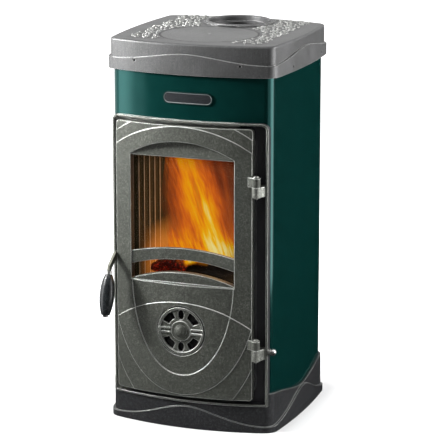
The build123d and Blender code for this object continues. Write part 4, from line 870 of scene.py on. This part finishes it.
def flameBody():
    finish = Finish("leaningFlames")
    x, y, z = finish.axes()
    depth = y - flameLook["front"]
    rise = z + flameLook["slantUp"] * depth - flameLook["foot"]
    wide = x + flameLook["slantAcross"] * depth
    curl = finish.noise(1.0, 2.0, 0.5, finish.joined(x * 9.0, y * 9.0, z * 5.0))
    across = wide + flameLook["lean"] * rise + 0.030 * (curl - 0.5)
    fibres = finish.noise(1.0, 5.0, 0.65, finish.joined(across * 120.0, y * 22.0, z * 11.0))
    tufts = finish.noise(1.0, 3.0, 0.5, finish.joined(across * 42.0, y * 14.0, z * 12.0))
    coreMiddle, coreWidth = flameLook["core"]
    spotWide, spotHalf, spotRise, spotTall = flameLook["spot"]
    core = swell(across, coreMiddle, coreWidth + 0.10 * rise)
    flank = swell(across, *flameLook["flank"])
    foot = swell(rise, *flameLook["footGlow"])
    spot = swell(wide, spotWide, spotHalf) * swell(rise, spotRise, spotTall)
    left, right, top = flameLook["wedge"]
    drop, slope = flameLook["wedgeEdge"]
    wedge = (((rise + drop - slope * wide) * 100.0).clip() * ((wide - left) * 100.0).clip()
             * ((right - wide) * 100.0).clip() * ((top - rise) * 120.0).clip()
             * ((flameLook["wedgeBack"] - y) * 100.0).clip())
    body = (0.36 * core * (1.30 - 4.2 * rise).clip() + 0.15 * flank + 0.09
            + 0.20 * foot + 0.42 * spot)
    grain = (0.60 * fibres + 0.40 * tufts - 0.5) * 4.0 + 1.0
    heat = (body * grain.clip(0.1, 2.3) * (1.08 - 0.9 * rise) + 0.14 * (tufts - 0.5)
            + wedge * (0.05 + 0.6 * tufts)).clip()
    lit = (((rise - flameLook["litAbove"]) * 40.0).clip() + wedge).clip()
    lit = lit * ((wide - flameLook["litRightOf"]) * 30.0).clip()
    lit = lit * ((flameLook["top"] - z) * 20.0).clip()
    finish.set(colour=(0.0, 0.0, 0.0), rough=1.0, specular=0.0,
               glow=finish.ramp(heat, *flameLook["glow"]), glowPower=flameLook["power"],
               alpha=((0.25 + (heat - 0.06) * 2.6).clip() * lit * 0.85).clip())
    return finish.material


def flameSheet(depth, left, right, low, high, bow):
    clearSelection()
    bpy.ops.mesh.primitive_grid_add(x_subdivisions=20, y_subdivisions=28, size=1.0)
    sheet = bpy.context.object
    for vertex in sheet.data.vertices:
        u, v = vertex.co.x + 0.5, vertex.co.y + 0.5
        lean = 0.012 * math.sin(v * 5.0 + depth * 60)
        vertex.co = (left + (right - left) * u,
                     depth + bow * math.sin(u * math.pi) + lean + 0.010 * math.sin(v * 9 + u * 6),
                     low + (high - low) * v)
    return sheet


flames = joinAll([flameSheet(*sheet) for sheet in flameLook["sheets"]])
settle(flames, "flames", flameBody(), "stove")
print("flames made")


# Floor, light and camera

studio = {
    "floorColour": (0.86, 0.86, 0.86),
    "floorGlow": 0.92,           # only for what the camera, metal and glass see
    "around": (0.10, 0.10, 0.105),
    "overhead": 1.5,
    "fireLight": 1.1,
    "foot": (0.165, 0.171, 0.036),       # the plinth's straight half sides and its corner
    "shadowFade": 6.0,           # per metre: how fast the painted contact shadow fades and the floor brightens away from the plinth
    "lampBase": 0.36,            # the height from which a softbox's elevation is taken
    "firePlace": (0.03, -0.05, 0.42), "fireColour": (1.0, 0.52, 0.20),
}


def seenDirectly(tree):
    # 1 for what the camera sees straight, in a reflection or through glass
    ray = tree.nodes.new("ShaderNodeLightPath")
    seen = Feed(tree, ray.outputs["Is Camera Ray"])
    for name in ("Is Glossy Ray", "Is Transmission Ray"):
        seen = seen + Feed(tree, ray.outputs[name])
    return seen.clip()


def makeFloor():
    clearSelection()
    bpy.ops.mesh.primitive_plane_add(size=60.0, location=(0, 0, 0))
    floor = bpy.context.object
    floor.name = "paleFloor"
    finish = Finish("paleFloor")
    x, y, z = finish.axes()
    halfWide, halfDeep, corner = studio["foot"]
    outX = (abs(x) - halfWide).clip(0.0, 100.0)
    outY = (abs(y) - halfDeep).clip(0.0, 100.0)
    gap = (outX ** 2.0 + outY ** 2.0) ** 0.5 - corner
    # the glow is held back close to the plinth: a painted contact shadow
    seen = seenDirectly(finish.tree) * (studio["shadowFade"] * gap).clip()
    grit = finish.noise(3.0, 2.0, 0.5)
    finish.set(colour=finish.mix(grit, studio["floorColour"], (0.88, 0.88, 0.88)),
               rough=0.9, specular=0.05,
               glow=finish.mix(seen, (0.0, 0.0, 0.0), (1.0, 1.0, 1.0)),
               glowPower=studio["floorGlow"])
    floor.data.materials.append(finish.material)


def makeWorld():
    world = bpy.data.worlds.new("studioRoom")
    bpy.context.scene.world = world
    world.use_nodes = True
    tree = world.node_tree
    background = tree.nodes["Background"]
    mix = tree.nodes.new("ShaderNodeMix")
    mix.data_type = "RGBA"
    tree.links.new(seenDirectly(tree).socket, mix.inputs[0])
    mix.inputs[6].default_value = (*studio["around"], 1.0)
    mix.inputs[7].default_value = (1.0, 1.0, 1.0, 1.0)
    tree.links.new(mix.outputs[2], background.inputs["Color"])
    background.inputs["Strength"].default_value = 1.0


softboxes = [  # name, azimuth, elevation, distance, aimed height, width, height, power, spread
    ("keyLeft", -57.0, 29.0, 1.7, 0.66, 0.30, 0.42, 15.5, 78.0),
    ("fillRight", 112.0, 18.0, 2.2, 0.55, 0.80, 1.10, 66.0, 180.0),
    ("fillFront", -5.0, 24.0, 3.0, 0.50, 1.20, 1.20, 1.0, 180.0),
]
panels = [  # name, azimuth, distance, lowest and highest point, width, brightness
    ("stripLeft", -51.0, 1.05, 0.01, 0.95, 0.26, 6.5),
    ("stripRight", 90.0, 1.05, 0.08, 0.95, 0.85, 8.0),
    # black cards, which keep the rest of the gloss dark
    ("flagFrontLeft", -24.0, 1.25, 0.0, 1.70, 0.70, 0.0),
    ("flagFront", 6.0, 1.30, 0.0, 1.70, 0.75, 0.0),
    ("flagFrontRight", 36.0, 1.30, 0.0, 1.70, 0.75, 0.0),
    ("flagRight", 98.0, 1.30, 0.0, 0.90, 0.95, 0.0),
    ("flagBackRight", 130.0, 1.30, 0.0, 0.90, 0.80, 0.0),
    ("flagBack", 158.0, 1.50, 0.0, 0.90, 1.00, 0.0),
]


def hang(name, data, place=(0, 0, 0), turn=(0, 0, 0)):
    # a lamp or camera gets its holder in the scene
    holder = bpy.data.objects.new(name, data)
    bpy.context.scene.collection.objects.link(holder)
    holder.location = place
    holder.rotation_euler = turn
    return holder


def makeLights():
    for name, azimuth, elevation, distance, aimed, wide, tall, power, spread in softboxes:
        turn, rise = math.radians(azimuth), math.radians(elevation)
        lamp = bpy.data.lights.new(name, "AREA")
        lamp.shape = "RECTANGLE"
        lamp.size, lamp.size_y = wide, tall
        lamp.energy = power
        lamp.spread = math.radians(spread)
        out = distance * math.cos(rise)
        high = studio["lampBase"] + distance * math.sin(rise)
        tip = math.atan2(high - aimed, out)
        holder = hang(name, lamp, (out * math.sin(turn), -out * math.cos(turn), high),
                      (math.pi / 2 - tip, 0, turn))
        holder.visible_camera = False
    sky = bpy.data.lights.new("overhead", "SUN")
    sky.energy = studio["overhead"]
    sky.angle = math.radians(85)
    hang("overhead", sky, turn=(math.radians(8), math.radians(-10), 0))
    glow = bpy.data.lights.new("fireLight", "POINT")
    glow.energy = studio["fireLight"]
    glow.color = studio["fireColour"]
    glow.shadow_soft_size = 0.05
    hang("fireLight", glow, studio["firePlace"])


def panelGlow(name, halfWide, bright):
    # brightest along its upright middle line, so that its streak in the enamel has soft sides
    finish = Finish(name)
    x, y, z = finish.axes()
    soft = (1.0 - abs(x) / halfWide).clip() ** 0.7
    finish.set(colour=(0.0, 0.0, 0.0), rough=1.0, specular=0.0, glowPower=bright,
               glow=finish.ramp(soft, (0.0, (0.0, 0.0, 0.0)), (1.0, (1.0, 1.0, 1.0))))
    return finish.material


def onlyInGloss(panel):
    panel.visible_camera = False
    panel.visible_diffuse = False
    panel.visible_shadow = False
    panel.visible_transmission = False


def makePanel(name, azimuth, distance, low, high, wide, bright):
    turn = math.radians(azimuth)
    clearSelection()
    bpy.ops.mesh.primitive_plane_add(size=1.0)
    panel = bpy.context.object
    panel.name = name
    panel.scale = (wide, high - low, 1.0)
    bpy.ops.object.transform_apply(location=False, rotation=False, scale=True)
    panel.rotation_euler = (math.pi / 2, 0, turn)
    panel.location = (distance * math.sin(turn), -distance * math.cos(turn), (low + high) / 2)
    panel.data.materials.append(panelGlow(name, wide / 2, bright))
    onlyInGloss(panel)


def makeMat():
    # a dark mat that shows only in the stove's lower reflections
    clearSelection()
    bpy.ops.mesh.primitive_plane_add(size=3.4, location=(0, 0, 0.0005))
    mat = bpy.context.object
    mat.name = "floorCloth"
    mat.data.materials.append(panelGlow("floorCloth", 1.0, 0.0))
    onlyInGloss(mat)


cameraView = {
    "place": (1.775601, -4.676894, 1.623089),
    "turn": 0.361050, "tilt": 0.237775,
    "sensor": 36.0,
    "focalPixels": 2328.41, "framePixels": 447,
}


def makeCamera():
    camera = bpy.data.cameras.new("photoView")
    camera.sensor_width = cameraView["sensor"]
    camera.lens = cameraView["focalPixels"] / cameraView["framePixels"] * cameraView["sensor"]
    camera.clip_end = 100.0
    bpy.context.scene.camera = hang("photoView", camera, cameraView["place"],
                                    (math.pi / 2 - cameraView["tilt"], 0, cameraView["turn"]))


makeFloor()
makeWorld()
makeLights()
for panel in panels:
    makePanel(*panel)
makeMat()
makeCamera()
bpy.context.scene.view_settings.view_transform = "Standard"
print("studio set")
